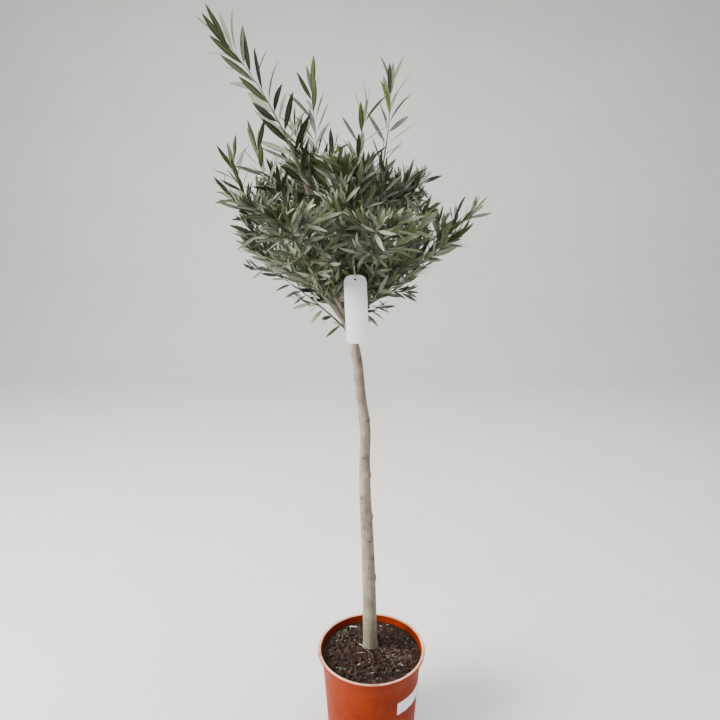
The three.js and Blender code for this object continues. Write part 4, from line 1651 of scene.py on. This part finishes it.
@dataclass(frozen=True)
class GrowthRule:
    """How twigs and leaves follow each other in the crown.

    Below bulk_top the crown is dense: side twigs and small leaves. Above it only the shoots that end
    over open_tip go on, with larger leaves further apart. The others stop at over_tip above their
    tips. The crown's underside rises from the stem outwards, lower on the right by under_lean, and
    only the hanging shoots, those that droop by more than hanging, pass it. Other sizes named bulk_
    hold in the dense part, and those named open_ in the open top.

    A leaf keeps all its tone up to shade_from left of the fork, and the share shaded_tone of it from
    shade_blend further on. The open top dulls a leaf by the share open_shade of that. This darkening
    is painted shade on the crown's left and in its open top.
    """

    # The room to grow in
    seed: int = 9000
    reach: float = 0.135
    bulk_top: float = 1.475
    blend_height: float = 0.13
    open_tip: float = 1.52
    over_tip: float = 0.042
    under_radii: tuple[float, ...] = (0.0, 0.12, 0.26)
    under_heights: tuple[float, ...] = (1.162, 1.276, 1.328)
    under_lean: float = 0.040
    lean_blend: float = 0.08
    hanging: float = 0.5
    cell: float = 0.004
    leaf_gap: float = 0.001
    twig_gap: float = 0.002

    # Twigs
    twig_spacing: float = 0.0135
    twig_trials: int = 10
    usual_twig: float = 110
    fewest_twigs: int = 3
    all_leafy: float = 1.7
    leader_gap: float = 0.04
    leader_start: float = 0.08
    leader_turns: Pair = (0.6, 1.0)
    leader_tones: Pair = (0.4, 0.8)
    leafy_from: float = 0.04
    leafy_to: float = 0.93
    place_spread: Pair = (0.1, 0.9)
    open_loss: float = 1.5
    twig_turn: float = 2.4
    trial_turn: float = 1.1
    trial_shrink: float = 0.05
    twig_angles: Pair = (24, 52)
    twig_taper: Pair = (1.05, 0.5)
    twig_lengths: Pair = (0.75, 1.15)
    twig_start: float = 0.12
    twig_upward: float = 0.6
    twig_hang: float = 1.1
    twiglet_share: float = 0.62
    twiglet_taper: float = 0.4
    twiglet_places: Pair = (0.3, 0.6)
    bearing_length: float = 0.05

    # Leaves
    leaf_trials: int = 7
    bulk_spacing: float = 0.0135
    open_spacing: float = 0.025
    spacing_spread: Pair = (0.85, 1.15)
    bulk_leaf: float = 0.060
    bulk_angle: float = 33.0
    open_angle: float = 60.0
    end_angle: float = 17
    end_power: float = 2.5
    end_from: float = 0.6
    bulk_pull: float = 0.16
    open_pull: float = 0.06
    hang_pull: float = 1.7
    bulk_width: float = 0.150
    open_width: float = 0.145
    hang_width: float = 0.14
    bulk_end_leaf: float = 0.72
    open_end_leaf: float = 0.86
    bulk_shortest: float = 0.74
    open_shortest: float = 0.88
    longest: float = 1.12
    leaf_angles: Pair = (-12, 14)
    more_angle: float = 0.3
    leaf_aside: float = 0.4
    more_aside: float = 0.5
    leaf_roll: float = 1.1
    leaf_widths: Pair = (0.85, 1.15)
    leaf_bends: Pair = (-0.15, 0.5)
    leaf_twist: float = 0.6

    # Tones and ages. The dull_ values and open_shade darken leaf tone as painted shade.
    shade_from: float = 0.06
    shade_blend: float = 0.10
    shaded_tone: float = 0.20
    open_shade: float = 0.8
    old_droop: float = 0.4
    young_from: float = 0.78
    young_tone: float = 0.35
    young_share: float = 0.6
    grown_tone: float = 0.70
    grown_spread: float = 0.3

    def openness(self, height: float, tip: float) -> float:
        """Returns how open the crown is, from 0 to 1, at a height on a leading shoot with this tip."""
        share = float(np.clip((height - self.bulk_top) / self.blend_height + 0.5, 0, 1))
        return share if tip >= self.open_tip else 0.0


def segment_distances(points: Array, starts: Array, ends: Array) -> Array:
    """Measures the distance of each point from each straight segment.

    Args:
        points: The points.
        starts: Where each segment starts.
        ends: Where each ends.

    Returns:
        A row for each point, with its distance from each segment.
    """
    along = ends - starts
    squares = np.maximum((along ** 2).sum(axis=1), 1e-12)
    share = np.clip(((points[:, None] - starts) * along).sum(axis=2) / squares, 0, 1)
    return np.linalg.norm(points[:, None] - starts - share[..., None] * along, axis=2)


class CrownSpace:
    """The room in which a mass grows: near its own stem, clear of limbs, the tag and other leaves.

    The trunk counts as a limb from trunk_low up, at one radius. The room may pass the part's box by
    a share and a length that are well inside what the looks may pass it by.
    """

    trunk_low = 1.0
    trunk_radius = 0.013
    trunk_points = 12
    limb_points = 8
    leader_points = 10
    least_limb = 0.05
    box_share = 0.02
    box_length = 0.004

    def __init__(self, wood: Wood, trunk: Trunk, tag: TagSize, rule: GrowthRule) -> None:
        """Lays out the stems and the limbs as short straight segments.

        Args:
            wood: The leading shoots.
            trunk: The stem.
            tag: The hang tag, and the window round it.
            rule: The rule of growth.
        """
        self.rule = rule
        self.tag = tag
        self.stems = {}
        self._hangs = {name: limb.shoot.droop > rule.hanging for name, limb in wood.limbs.items()}
        self._tops = {}
        starts, ends, radii = [], [], []
        for name, limb in wood.limbs.items():
            height = limb.line.tip[2]
            self._tops[name] = height + (rule.over_tip if height < rule.open_tip else rule.reach)
            stem = limb.line.points(np.linspace(limb.shoot.bough, 1, self.leader_points))
            tip = stem[-1] + limb.line.heading(1.0) * limb.shoot.leaf / 1000
            line = np.vstack([stem, tip])
            self.stems[name] = (line[:-1], line[1:])
            shares = np.linspace(0, max(limb.shoot.bough, self.least_limb), self.limb_points)
            bare = limb.line.points(shares)
            starts.append(bare[:-1])
            ends.append(bare[1:])
            radii += [limb.radius(share) for share in shares[:-1]]
        heights = np.linspace(self.trunk_low, trunk.size.top, self.trunk_points)
        upper = np.array([trunk.centre(z) for z in heights])
        self.starts = np.vstack([*starts, upper[:-1]])
        self.ends = np.vstack([*ends, upper[1:]])
        self.radii = np.array(radii + [self.trunk_radius] * (self.trunk_points - 1))
        self.low, self.high = self._box()
        self.axis = trunk.centre(trunk.size.top)
        self.taken: set[tuple[int, ...]] = set()

    def _box(self) -> tuple[Array, Array]:
        """Works out the part's own box, grown by the little that the room may pass it.

        Returns:
            Its lowest and its highest corner.
        """
        low, high = (np.array(corner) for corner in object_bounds())
        grow = self.box_share * (high - low) + self.box_length
        return low - grow, high + grow

    def is_free(self, name: str, points: Array, margin: float) -> bool:
        """Tells whether a mass may grow through all of these points.

        Args:
            name: The mass, by its leading shoot's name.
            points: The points.
            margin: How far off the limbs' bark they have to be.

        Returns:
            Whether all of them are in the mass's own room.
        """
        if np.any(points < self.low) or np.any(points > self.high) or self._hides_tag(points):
            return False
        if points[:, 2].max() > self._tops[name] or (not self._hangs[name] and self._is_under(points)):
            return False
        if segment_distances(points, *self.stems[name]).min(axis=1).max() > self.rule.reach:
            return False
        return bool((segment_distances(points, self.starts, self.ends) - self.radii).min() > margin)

    def _hides_tag(self, points: Array) -> bool:
        """Tells whether any of the points lies in the windows of the hang tag and its string.

        Args:
            points: The points.

        Returns:
            Whether any of them is in a window.
        """
        tag = self.tag
        x, y, z = tag.centre
        aside = np.abs(points[:, 0] - x)
        above = points[:, 2] - z - tag.height / 2
        card = (aside < tag.width / 2 + tag.aside) & (above < tag.ends) & (above > -tag.height - tag.ends)
        string = (aside < tag.string_half) & (above > 0) & (above < tag.string_height)
        return bool(((points[:, 1] < y + tag.behind) & (card | string)).any())

    def _is_under(self, points: Array) -> bool:
        """Tells whether any of the points lies below the crown's underside.

        Args:
            points: The points.

        Returns:
            Whether any of them is below it.
        """
        outward = np.linalg.norm(points[:, :2] - self.axis[:2], axis=1)
        floor = np.interp(outward, self.rule.under_radii, self.rule.under_heights)
        to_right = np.clip((points[:, 0] - self.axis[0]) / self.rule.lean_blend, 0, 1)
        return bool(np.any(points[:, 2] < floor - self.rule.under_lean * to_right))

    def take(self, name: str, points: Array) -> bool:
        """Claims the room for a leaf, if it is free and no other leaf is in the way.

        Args:
            name: The mass, by its leading shoot's name.
            points: Points along the leaf. Its foot, the first three, may stand close to others.

        Returns:
            Whether the room was claimed.
        """
        cells = {tuple(cell) for cell in np.floor(points[3:] / self.rule.cell).astype(int).tolist()}
        if cells & self.taken or not self.is_free(name, points, self.rule.leaf_gap):
            return False
        self.taken |= cells
        return True


@dataclass
class Leaf:
    """One leaf's place, size and curve."""

    root: Array
    heading: Array
    across: Array
    length: float
    width: float
    bend: float
    twist: float
    tone: float


@dataclass
class Twig:
    """One side twig or stem that carries leaves. A leading stem has a root radius of 0."""

    name: str
    line: Bow
    start: float
    root_radius: float
    tip_radius: float
    leaf: float
    droop: float
    turn: float
    tone: float


class Crown:
    """Twigs and leaves that grow from the leading shoots by one seeded rule.

    last_pair is the share of a twig's length at which its last pair of leaves stands. A twig is
    built with twig_rings rings of twig_sides points. side_twig and twiglet hold the radius of a
    twig's root, and its leaves' length as a share of its parent's.
    """

    last_pair = 0.985
    twig_rings = 7
    twig_sides = 6
    root_youth = 0.55
    side_twig = (0.0015, 0.92)
    twiglet = (0.0011, 0.85)
    twig_end = 0.0007
    leaf_samples = np.linspace(0.1, 1.0, 12)[:, None]

    def __init__(self, wood: Wood, space: CrownSpace, rule: GrowthRule) -> None:
        """Starts with no leaves and no twigs.

        Args:
            wood: The wood to grow on.
            space: The room to grow in.
            rule: The rule of growth.
        """
        self.wood = wood
        self.space = space
        self.rule = rule
        self.leaves: dict[LeafAge, list[Leaf]] = {age: [] for age in LeafAge}
        self.twigs: list[Twig] = []
        self.random = np.random.default_rng(rule.seed)

    def grow(self) -> None:
        """Grows every mass: first its leading stem, then its side twigs, then their own twiglets."""
        rule = self.rule
        for index, limb in enumerate(self.wood.limbs.values()):
            self.random = np.random.default_rng(rule.seed + index)
            leader = self._leader(limb)
            self._leaf_out(leader)
            for order in range(self._twig_count(limb)):
                twig = self._side_twig(leader, order, 1.0)
                if twig is None:
                    continue
                self._leaf_out(twig)
                if twig.line.length > rule.bearing_length and twig.droop < rule.hanging:
                    twiglet = self._side_twig(twig, order + 1, rule.twiglet_share)
                    if twiglet is not None:
                        self._leaf_out(twiglet)

    def _twig_count(self, limb: Limb) -> int:
        """Works out how many side twigs a stem would carry, by the length of its leafy part.

        Args:
            limb: The leading shoot's wood.

        Returns:
            The count.
        """
        rule, shoot = self.rule, limb.shoot
        if shoot.droop > rule.hanging:
            return rule.fewest_twigs
        share = min(1.0, shoot.twig / rule.usual_twig) ** 3
        if shoot.bough == 0.0:
            share *= rule.all_leafy
        count = round(share * limb.line.length * (1 - shoot.bough) / rule.twig_spacing)
        return max(rule.fewest_twigs, count)

    def _openness(self, twig: Twig, height: float) -> float:
        """Returns how open the crown is at a height on a twig's leading shoot."""
        return self.rule.openness(height, self.wood.limbs[twig.name].line.tip[2])

    def _painted_shade_share(self, twig: Twig, place: Array) -> float:
        """Works out the share of its tone that a leaf keeps: less on the left and in the open top, as
        painted shade.

        Args:
            twig: The twig that carries the leaf.
            place: The leaf's root.

        Returns:
            The share.
        """
        rule = self.rule
        leftward = self.space.axis[0] - place[0]
        shade_amount = np.clip((leftward - rule.shade_from) / rule.shade_blend, 0, 1)
        shade_amount = max(shade_amount, rule.open_shade * self._openness(twig, place[2]))
        return float(mix(1.0, rule.shaded_tone, shade_amount))

    def _leader(self, limb: Limb) -> Twig:
        """Makes the leafy stem of a leading shoot.

        Args:
            limb: The leading shoot's wood.

        Returns:
            The stem, as a twig.
        """
        shoot, rule = limb.shoot, self.rule
        start = max(shoot.bough + rule.leader_gap, rule.leader_start)
        turn, tone = self.random.uniform(*rule.leader_turns), self.random.uniform(*rule.leader_tones)
        return Twig(shoot.name, limb.line, start, 0.0, 0.0, shoot.leaf / 1000, shoot.droop, turn, tone)

    def _side_twig(self, parent: Twig, order: int, share_of_length: float) -> Twig | None:
        """Grows a twig off a stem or off another twig.

        Args:
            parent: The stem or twig that it leaves.
            order: Its number on the parent, which sets its place and its turn.
            share_of_length: Its length, as a share of what its mass's twigs are given.

        Returns:
            The twig, or None above the dense part and where no direction keeps to the mass's room.
        """
        rule = self.rule
        limb = self.wood.limbs[parent.name]
        is_leader = parent.root_radius == 0.0
        share = self.random.uniform(*rule.twiglet_places)
        if is_leader:
            step = (order + self.random.uniform(*rule.place_spread)) / self._twig_count(limb)
            share = mix(max(limb.shoot.bough, rule.leafy_from), rule.leafy_to, step)
        root, axis = parent.line.point(share), parent.line.heading(share)
        if self.random.uniform() < rule.open_loss * self._openness(parent, root[2]):
            return None
        first, second = cross_axes(axis, parent.line.side)
        taper = mix(*rule.twig_taper, share if is_leader else rule.twiglet_taper)
        full = limb.shoot.twig / 1000 * taper
        full *= self.random.uniform(*rule.twig_lengths) * share_of_length
        droop = parent.droop * (1 - share)
        for trial in range(rule.twig_trials):
            turn = order * rule.twig_turn + parent.turn + trial * rule.trial_turn
            angle = math.radians(self.random.uniform(*rule.twig_angles))
            half = full * (1 - trial * rule.trial_shrink) / 2
            outward = first * math.cos(turn) + second * math.sin(turn)
            heading = axis * math.cos(angle) + outward * math.sin(angle)
            middle = root + heading * half
            upward = unit(heading + UP * (rule.twig_upward - rule.twig_hang * droop))
            line = Bow(root, middle, middle + upward * half)
            if self.space.is_free(parent.name, line.points([0.25, 0.5, 0.75, 1.0]), rule.twig_gap):
                radius, leaf_share = self.side_twig if is_leader else self.twiglet
                turn, tone = self.random.uniform(0, math.pi), self.random.uniform()
                twig = Twig(parent.name, line, rule.twig_start, radius, self.twig_end,
                            parent.leaf * leaf_share, droop, turn, tone)
                self.twigs.append(twig)
                return twig
        return None

    def _leaf_out(self, twig: Twig) -> None:
        """Grows pairs of leaves along a twig, each pair turned a quarter from the last.

        Args:
            twig: The twig.
        """
        shares = [twig.start]
        while shares[-1] < self.last_pair:
            is_open = max(twig.droop, self._openness(twig, twig.line.point(shares[-1])[2]))
            spacing = mix(self.rule.bulk_spacing, self.rule.open_spacing, is_open)
            spacing *= self.random.uniform(*self.rule.spacing_spread)
            shares.append(min(self.last_pair, shares[-1] + spacing / twig.line.length))
        for node, share in enumerate(shares):
            first, second = cross_axes(twig.line.heading(share), twig.line.side)
            for way in (0.0, math.pi):
                turn = node * math.pi / 2 + twig.turn + way
                outward = first * math.cos(turn) + second * math.sin(turn)
                self._grow_leaf(twig, share, outward)

    def _full_length(self, twig: Twig, is_open: float, age: float) -> float:
        """Works out a leaf's plain length: small in the dense part and towards a twig's tip.

        Args:
            twig: The twig that carries the leaf.
            is_open: How open the crown is there.
            age: 0 for the twig's oldest leaf and 1 for its youngest.

        Returns:
            The length.
        """
        rule = self.rule
        end_share = mix(rule.bulk_end_leaf, rule.open_end_leaf, is_open)
        full = mix(min(twig.leaf, rule.bulk_leaf), twig.leaf, is_open)
        return full * mix(1.0, end_share, max(0.0, age - rule.end_from) / (1 - rule.end_from))

    def _grow_leaf(self, twig: Twig, share: float, outward: Array) -> None:
        """Grows one leaf, trying a few directions and sizes until it has room.

        Args:
            twig: The twig that carries it.
            share: How far along the twig it stands.
            outward: The side of the twig that it stands on.
        """
        rule = self.rule
        age = share / self.last_pair
        root, axis = twig.line.point(share), twig.line.heading(share)
        is_open = self._openness(twig, root[2])
        base_angle = mix(rule.bulk_angle, rule.open_angle, is_open)
        base_angle = mix(base_angle, rule.end_angle, age ** rule.end_power)
        droop = twig.droop * (1 - age)
        width_share = mix(rule.bulk_width, rule.open_width, is_open) + rule.hang_width * droop
        shortest = mix(rule.bulk_shortest, rule.open_shortest, is_open)
        full = self._full_length(twig, is_open, age) * self.random.uniform(shortest, rule.longest)
        pull = UP * (mix(rule.bulk_pull, rule.open_pull, is_open) - rule.hang_pull * droop)
        for trial in range(rule.leaf_trials):
            swing = self.random.uniform(*rule.leaf_angles) * (1 + rule.more_angle * trial)
            angle = math.radians(base_angle + swing)
            aside = np.cross(axis, outward) * self.random.uniform(-rule.leaf_aside, rule.leaf_aside)
            side = unit(outward + aside * (1 + rule.more_aside * trial))
            heading = unit(axis * math.cos(angle) + side * math.sin(angle) + pull)
            length = full * (1 - rule.trial_shrink * trial)
            across = unit(np.cross(axis, side))
            across = unit(across - heading * np.dot(across, heading))
            roll = self.random.uniform(-rule.leaf_roll, rule.leaf_roll)
            across = across * math.cos(roll) + np.cross(heading, across) * math.sin(roll)
            if self.space.take(twig.name, root + heading * length * self.leaf_samples):
                # The leaf's tone is cut by painted shade on the crown's left and in its open top.
                tone = (0.5 * twig.tone + 0.5 * self.random.uniform()) * self._painted_shade_share(twig, root)
                width = length * width_share * self.random.uniform(*rule.leaf_widths)
                bend = self.random.uniform(*rule.leaf_bends)
                twist = self.random.uniform(-rule.leaf_twist, rule.leaf_twist)
                leaf = Leaf(root, heading, across, length, width, bend, twist, tone)
                self.leaves[self._age(twig, age)].append(leaf)
                return

    def _age(self, twig: Twig, age: float) -> LeafAge:
        """Chooses a leaf's colours by its place on the twig and by its spray.

        Args:
            twig: The twig that carries the leaf.
            age: 0 for the twig's oldest leaf and 1 for its youngest.

        Returns:
            The age whose colours it takes.
        """
        rule = self.rule
        if twig.droop > rule.old_droop:
            return LeafAge.OLD
        if age > rule.young_from and twig.tone > rule.young_tone:
            return LeafAge.YOUNG if self.random.uniform() < rule.young_share else LeafAge.GROWN
        tone = twig.tone + rule.grown_spread * self.random.uniform()
        return LeafAge.GROWN if tone > rule.grown_tone else LeafAge.OLD

    def build_leaves(self, age: LeafAge) -> Piece:
        """Builds all the leaves of an age as one mesh.

        Args:
            age: The age.

        Returns:
            The leaves.
        """
        leaves = self.leaves[age]
        shape = LeafShape()
        points = shape.points(leaves)
        stride = points.shape[1] * points.shape[2]
        faces = (shape.faces()[None] + np.arange(len(leaves))[:, None, None] * stride).reshape(-1, 4)
        tones = np.repeat([leaf.tone for leaf in leaves], stride)
        along, across = shape.places(len(leaves))
        builder = MeshBuilder()
        builder.add(points, faces, tone=tones, along=along, across=across)
        return builder.build(f"leaves_{age.name.lower()}")

    def build_twigs(self) -> Piece:
        """Builds all the side twigs as one mesh.

        Returns:
            The twigs.
        """
        builder = MeshBuilder()
        shares = np.linspace(0, 1, self.twig_rings)
        youth = np.repeat(mix(self.root_youth, 1.0, shares), self.twig_sides)
        faces = grid_faces(self.twig_rings, self.twig_sides, True)
        for twig in self.twigs:
            radii = mix(twig.root_radius, twig.tip_radius, shares)
            rings = tube_points(twig.line.points(shares), radii, self.twig_sides)
            builder.add(rings, faces, scar=0.0, youth=youth)
        return builder.build("side_twigs")

    def make(self, bark: Bark, groups: GroupLibrary, masses: Sequence[str]) -> None:
        """Builds and hands over the side twigs and the leaves of each age.

        Args:
            bark: The bark's finish.
            groups: The shared groups.
            masses: Names of the nodes that the twigs and leaves stand for.
        """
        hand_over(self.build_twigs(), bark, *masses)
        for age in LeafAge:
            hand_over(self.build_leaves(age), LeafBlade(groups, age), *masses)


class LeafShape:
    """The outline and curve that every leaf shares: a short stalk, a narrow blade and a sharp tip."""

    shares = np.array([0.0, 0.07, 0.15, 0.28, 0.45, 0.62, 0.78, 0.91, 1.0])
    widths = np.array([0.09, 0.10, 0.42, 0.80, 1.0, 0.96, 0.72, 0.36, 0.02])
    sides = np.array([-1.0, 0.0, 1.0])
    fold = 0.22
    straight = 1e-3

    def points(self, leaves: Sequence[Leaf]) -> Array:
        """Lays out the points of many leaves.

        Args:
            leaves: The leaves.

        Returns:
            The points by leaf, by share of its length and by side.
        """
        root, heading, across = (np.array([getattr(leaf, name) for leaf in leaves])[:, None, :]
                                 for name in ("root", "heading", "across"))
        length, width, bend, twist = (np.array([getattr(leaf, name) for leaf in leaves])[:, None]
                                      for name in ("length", "width", "bend", "twist"))
        face = np.cross(heading, across)
        turn = bend * self.shares
        near_straight = np.abs(bend) < self.straight
        safe = np.where(near_straight, 1.0, bend)
        ahead = np.where(near_straight, self.shares, np.sin(turn) / safe) * length
        down = np.where(near_straight, 0.0, (1 - np.cos(turn)) / safe) * length
        rib = root + heading * ahead[..., None] - face * down[..., None]
        wind = (twist * self.shares)[..., None]
        sideways = across * np.cos(wind) + face * np.sin(wind)
        upright = np.cross(np.broadcast_to(heading, sideways.shape), sideways)
        half = (width / 2 * self.widths)[..., None, None]
        raised = np.abs(self.sides)[:, None] * self.fold
        off_rib = sideways[:, :, None] * self.sides[:, None] + upright[:, :, None] * raised
        return rib[:, :, None] + half * off_rib

    def faces(self) -> Array:
        """Lists one leaf's faces, with their upper sides outward."""
        return grid_faces(len(self.shares), len(self.sides), False)

    def places(self, count: int) -> tuple[Array, Array]:
        """Returns how far along and across the blade each point of many leaves is."""
        along, across = np.meshgrid(self.shares, self.sides, indexing="ij")
        return np.tile(along.ravel(), count), np.tile(across.ravel(), count)


# String of the hang tag


@dataclass(frozen=True)
class StringSize:
    """Sizes of the string that hangs the tag.

    seat is the share of the bough's length at which the string goes round it, a strand's turns
    are pitch apart, and the tag's hole is hole_drop below its top edge.
    """

    strand_radius: float = 0.00052
    pitch: float = 0.0042
    seat: float = 0.5
    clearance: float = 0.0011
    hole_drop: float = 0.010
    tag_lean: float = 2.4
    knot_radius: float = 0.0007


class TagString:
    """Twisted string that hangs the tag from its bough."""

    sides = 6
    steps = 14
    knot_rings = 26

    def __init__(self, wood: Wood, tag: TagSize, size: StringSize) -> None:
        """Takes the wood that carries the string, the tag and the string's sizes.

        Args:
            wood: The wood that carries the string.
            tag: The hang tag.
            size: The string's sizes.
        """
        self.limb = wood.limbs["front_mid"]
        self.tag = tag
        self.size = size

    def _path(self) -> Array:
        """Lays the string's closed path: through the tag's hole and round the bough.

        Returns:
            The path's points.
        """
        knot = self.limb.line.point(self.size.seat)
        along = unit(self.limb.line.tip - knot)
        beyond = unit(np.cross(along, [1.0, 0.0, 0.0]))
        across = unit(np.cross(beyond, along))
        loop = self.limb.radius(self.size.seat) + self.size.clearance
        x, y, z = self.tag.centre
        rise = self.tag.height / 2 - self.size.hole_drop
        sideways = math.sin(math.radians(self.size.tag_lean)) * rise
        hole = np.array([x - sideways, y + 0.0003, z + rise + 0.0015])
        there, back = ([hole + (way * 0.0002, way * -0.0015, 0.0009),
                        hole + (way * 0.0004, way * -0.0022, 0.005),
                        mix(hole, knot, 0.35) + (way * 0.0013, way * -0.0012, 0.0),
                        mix(hole, knot, 0.8) + (way * 0.0024, -0.001, 0.0)] for way in (1, -1))
        turns = np.radians(-15 + 35 * np.arange(7))
        around = [knot + across * math.cos(turn) * loop + beyond * math.sin(turn) * loop for turn in turns]
        return smooth_line([hole, *there, *around, *reversed(back), hole], self.steps)

    def build(self) -> Piece:
        """Builds both twisted strands, and the knot above the tag.

        Returns:
            The string.
        """
        path = self._path()
        radius = self.size.strand_radius
        builder = MeshBuilder()
        reach = np.concatenate([[0], np.cumsum(np.linalg.norm(np.diff(path, axis=0), axis=1))])
        headings = unit(np.gradient(path, axis=0))
        side = unit(np.cross(headings, np.array([1.0, 1.0, 1.0])))
        other = unit(np.cross(headings, side))
        for start in (0.0, math.pi):
            angle = (reach / self.size.pitch * math.tau + start)[:, None]
            strand = path + (side * np.cos(angle) + other * np.sin(angle)) * radius * 0.8
            rings = tube_points(strand, np.full(len(strand), radius), self.sides)
            builder.add(rings, grid_faces(len(strand), self.sides, True))
        middle = path[self.steps] * 0.4 + path[2 * self.steps] * 0.6
        turns = np.linspace(0, math.tau * 1.5, self.knot_rings)
        winds = np.stack([np.cos(turns) * 0.0016, np.sin(turns) * 0.0014, turns * 0.00035], axis=1)
        rings = tube_points(middle + winds, np.full(self.knot_rings, self.size.knot_radius), self.sides)
        builder.add(rings, grid_faces(self.knot_rings, self.sides, True))
        return builder.build("twisted_string")

    def make(self, groups: GroupLibrary) -> None:
        """Builds and hands over the string."""
        hand_over(self.build(), Twine(groups), "tag_tie")


# Studio


@dataclass(frozen=True)
class Panel:
    """One square light panel that faces a target."""

    name: str
    place: Point
    target: Point
    side: float
    power: float
    colour: Colour


PANELS = (
    Panel("key_panel", (-3.0, -1.1, 2.4), (0.0, 0.0, 0.9), 2.0, 340.0, (1.0, 0.98, 0.95)),
    Panel("fill_panel", (2.9, -1.2, 2.0), (0.0, 0.0, 0.9), 2.2, 20.0, (0.94, 0.97, 1.0)),
    Panel("top_panel", (0.2, 0.9, 4.2), (0.0, 0.0, 1.0), 3.0, 210.0, (0.97, 0.99, 1.0)),
)


@dataclass(frozen=True)
class StudioSize:
    """The camera's place and angle, the floor's sizes and the world's light."""

    camera_place: Point = (-0.031, -1.487, 1.465)
    camera_pitch: float = 14.67
    lens: float = 32.0
    sensor: float = 36.0
    nearest: float = 0.05
    floor_half: float = 6.0
    floor_front: float = -3.2
    floor_back: float = 3.4
    sweep: float = 1.4
    backdrop: float = 6.0
    floor_drop: float = 0.0002
    sky: tuple[float, float, float, float] = (0.93, 0.96, 1.0, 1.0)
    sky_strength: float = 0.4


class Studio:
    """Pale floor, soft lights and the camera at the photo's place."""

    def __init__(self, size: StudioSize) -> None:
        """Takes the studio's sizes."""
        self.size = size

    def build_floor(self) -> Piece:
        """Builds a floor that sweeps up into a backdrop.

        Returns:
            The floor.
        """
        size = self.size
        profile = [(size.floor_front, 0.0), (size.floor_back, 0.0)]
        for angle in np.radians(np.linspace(10, 90, 9)):
            rise = size.sweep * (1 - math.cos(angle))
            profile.append((size.floor_back + size.sweep * math.sin(angle), rise))
        profile.append((size.floor_back + size.sweep, size.backdrop))
        sides = (-size.floor_half, size.floor_half)
        points = np.array([[(x, y, z - size.floor_drop) for x in sides] for y, z in profile])
        builder = MeshBuilder()
        builder.add(points, grid_faces(len(profile), len(sides), False)[:, ::-1])
        floor = builder.build("studio_sweep")
        floor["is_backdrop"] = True
        return floor

    def add_lights(self) -> None:
        """Adds a large soft key from the front left, fills, and a pale world."""
        for panel in PANELS:
            self._add_panel(panel)
        world = bpy.data.worlds.new("soft_world")
        world.use_nodes = True
        background = world.node_tree.nodes["Background"]
        background.inputs["Color"].default_value = self.size.sky
        background.inputs["Strength"].default_value = self.size.sky_strength
        bpy.context.scene.world = world

    @staticmethod
    def _add_panel(panel: Panel) -> None:
        """Adds one light panel.

        Args:
            panel: The panel.
        """
        light = bpy.data.lights.new(panel.name, "AREA")
        light.size = panel.side
        light.energy = panel.power
        light.color = panel.colour
        holder = bpy.data.objects.new(panel.name, light)
        holder.location = panel.place
        aim = Vector(panel.target) - Vector(panel.place)
        holder.rotation_euler = aim.to_track_quat("-Z", "Y").to_euler()
        bpy.context.scene.collection.objects.link(holder)

    def add_camera(self) -> None:
        """Adds the camera at the photo's angle."""
        camera = bpy.data.cameras.new("photo_camera")
        camera.lens = self.size.lens
        camera.sensor_width = self.size.sensor
        camera.clip_start = self.size.nearest
        holder = bpy.data.objects.new("photo_camera", camera)
        holder.location = self.size.camera_place
        holder.rotation_euler = (math.radians(90 - self.size.camera_pitch), 0.0, 0.0)
        bpy.context.scene.collection.objects.link(holder)
        bpy.context.scene.camera = holder

    def make(self, groups: GroupLibrary) -> None:
        """Sets up the floor, the lights and the camera.

        Args:
            groups: The shared groups.
        """
        PaleFloor(groups).dress(self.build_floor())
        self.add_lights()
        self.add_camera()


# The whole tree


def make_tree(groups: GroupLibrary, nodes: Iterable[str]) -> None:
    """Builds the stem, the boughs, the twigs, the leaves and the tag's string.

    Args:
        groups: The shared groups.
        nodes: Names of all the part's nodes.
    """
    boughs = [name for name in nodes if name.startswith("bough_")]
    masses = [name for name in nodes if name.startswith("foliage_")]
    trunk = Trunk(TrunkSize())
    wood = Wood(trunk)
    tag = TagSize()
    rule = GrowthRule()
    crown = Crown(wood, CrownSpace(wood, trunk, tag, rule), rule)
    crown.grow()
    bark = Bark(groups)
    trunk.make(bark)
    wood.make(bark, boughs)
    crown.make(bark, groups, masses)
    TagString(wood, tag, StringSize()).make(groups)


def main() -> None:
    """Builds the whole picture in order."""
    logging.basicConfig(level=logging.INFO, format="%(message)s")
    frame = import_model()
    nodes = frame["nodes"]
    groups = GroupLibrary()
    pot = PotSize()
    Pot(pot).make(groups)
    CompostBed(CompostSize(), pot).make(groups)
    make_tree(groups, sorted(nodes))
    TagCard(groups).dress(nodes["hang_tag"])
    LabelPaper(groups).dress(nodes["pot_label"])
    Studio(StudioSize()).make(groups)


if __name__ == "__main__":
    main()
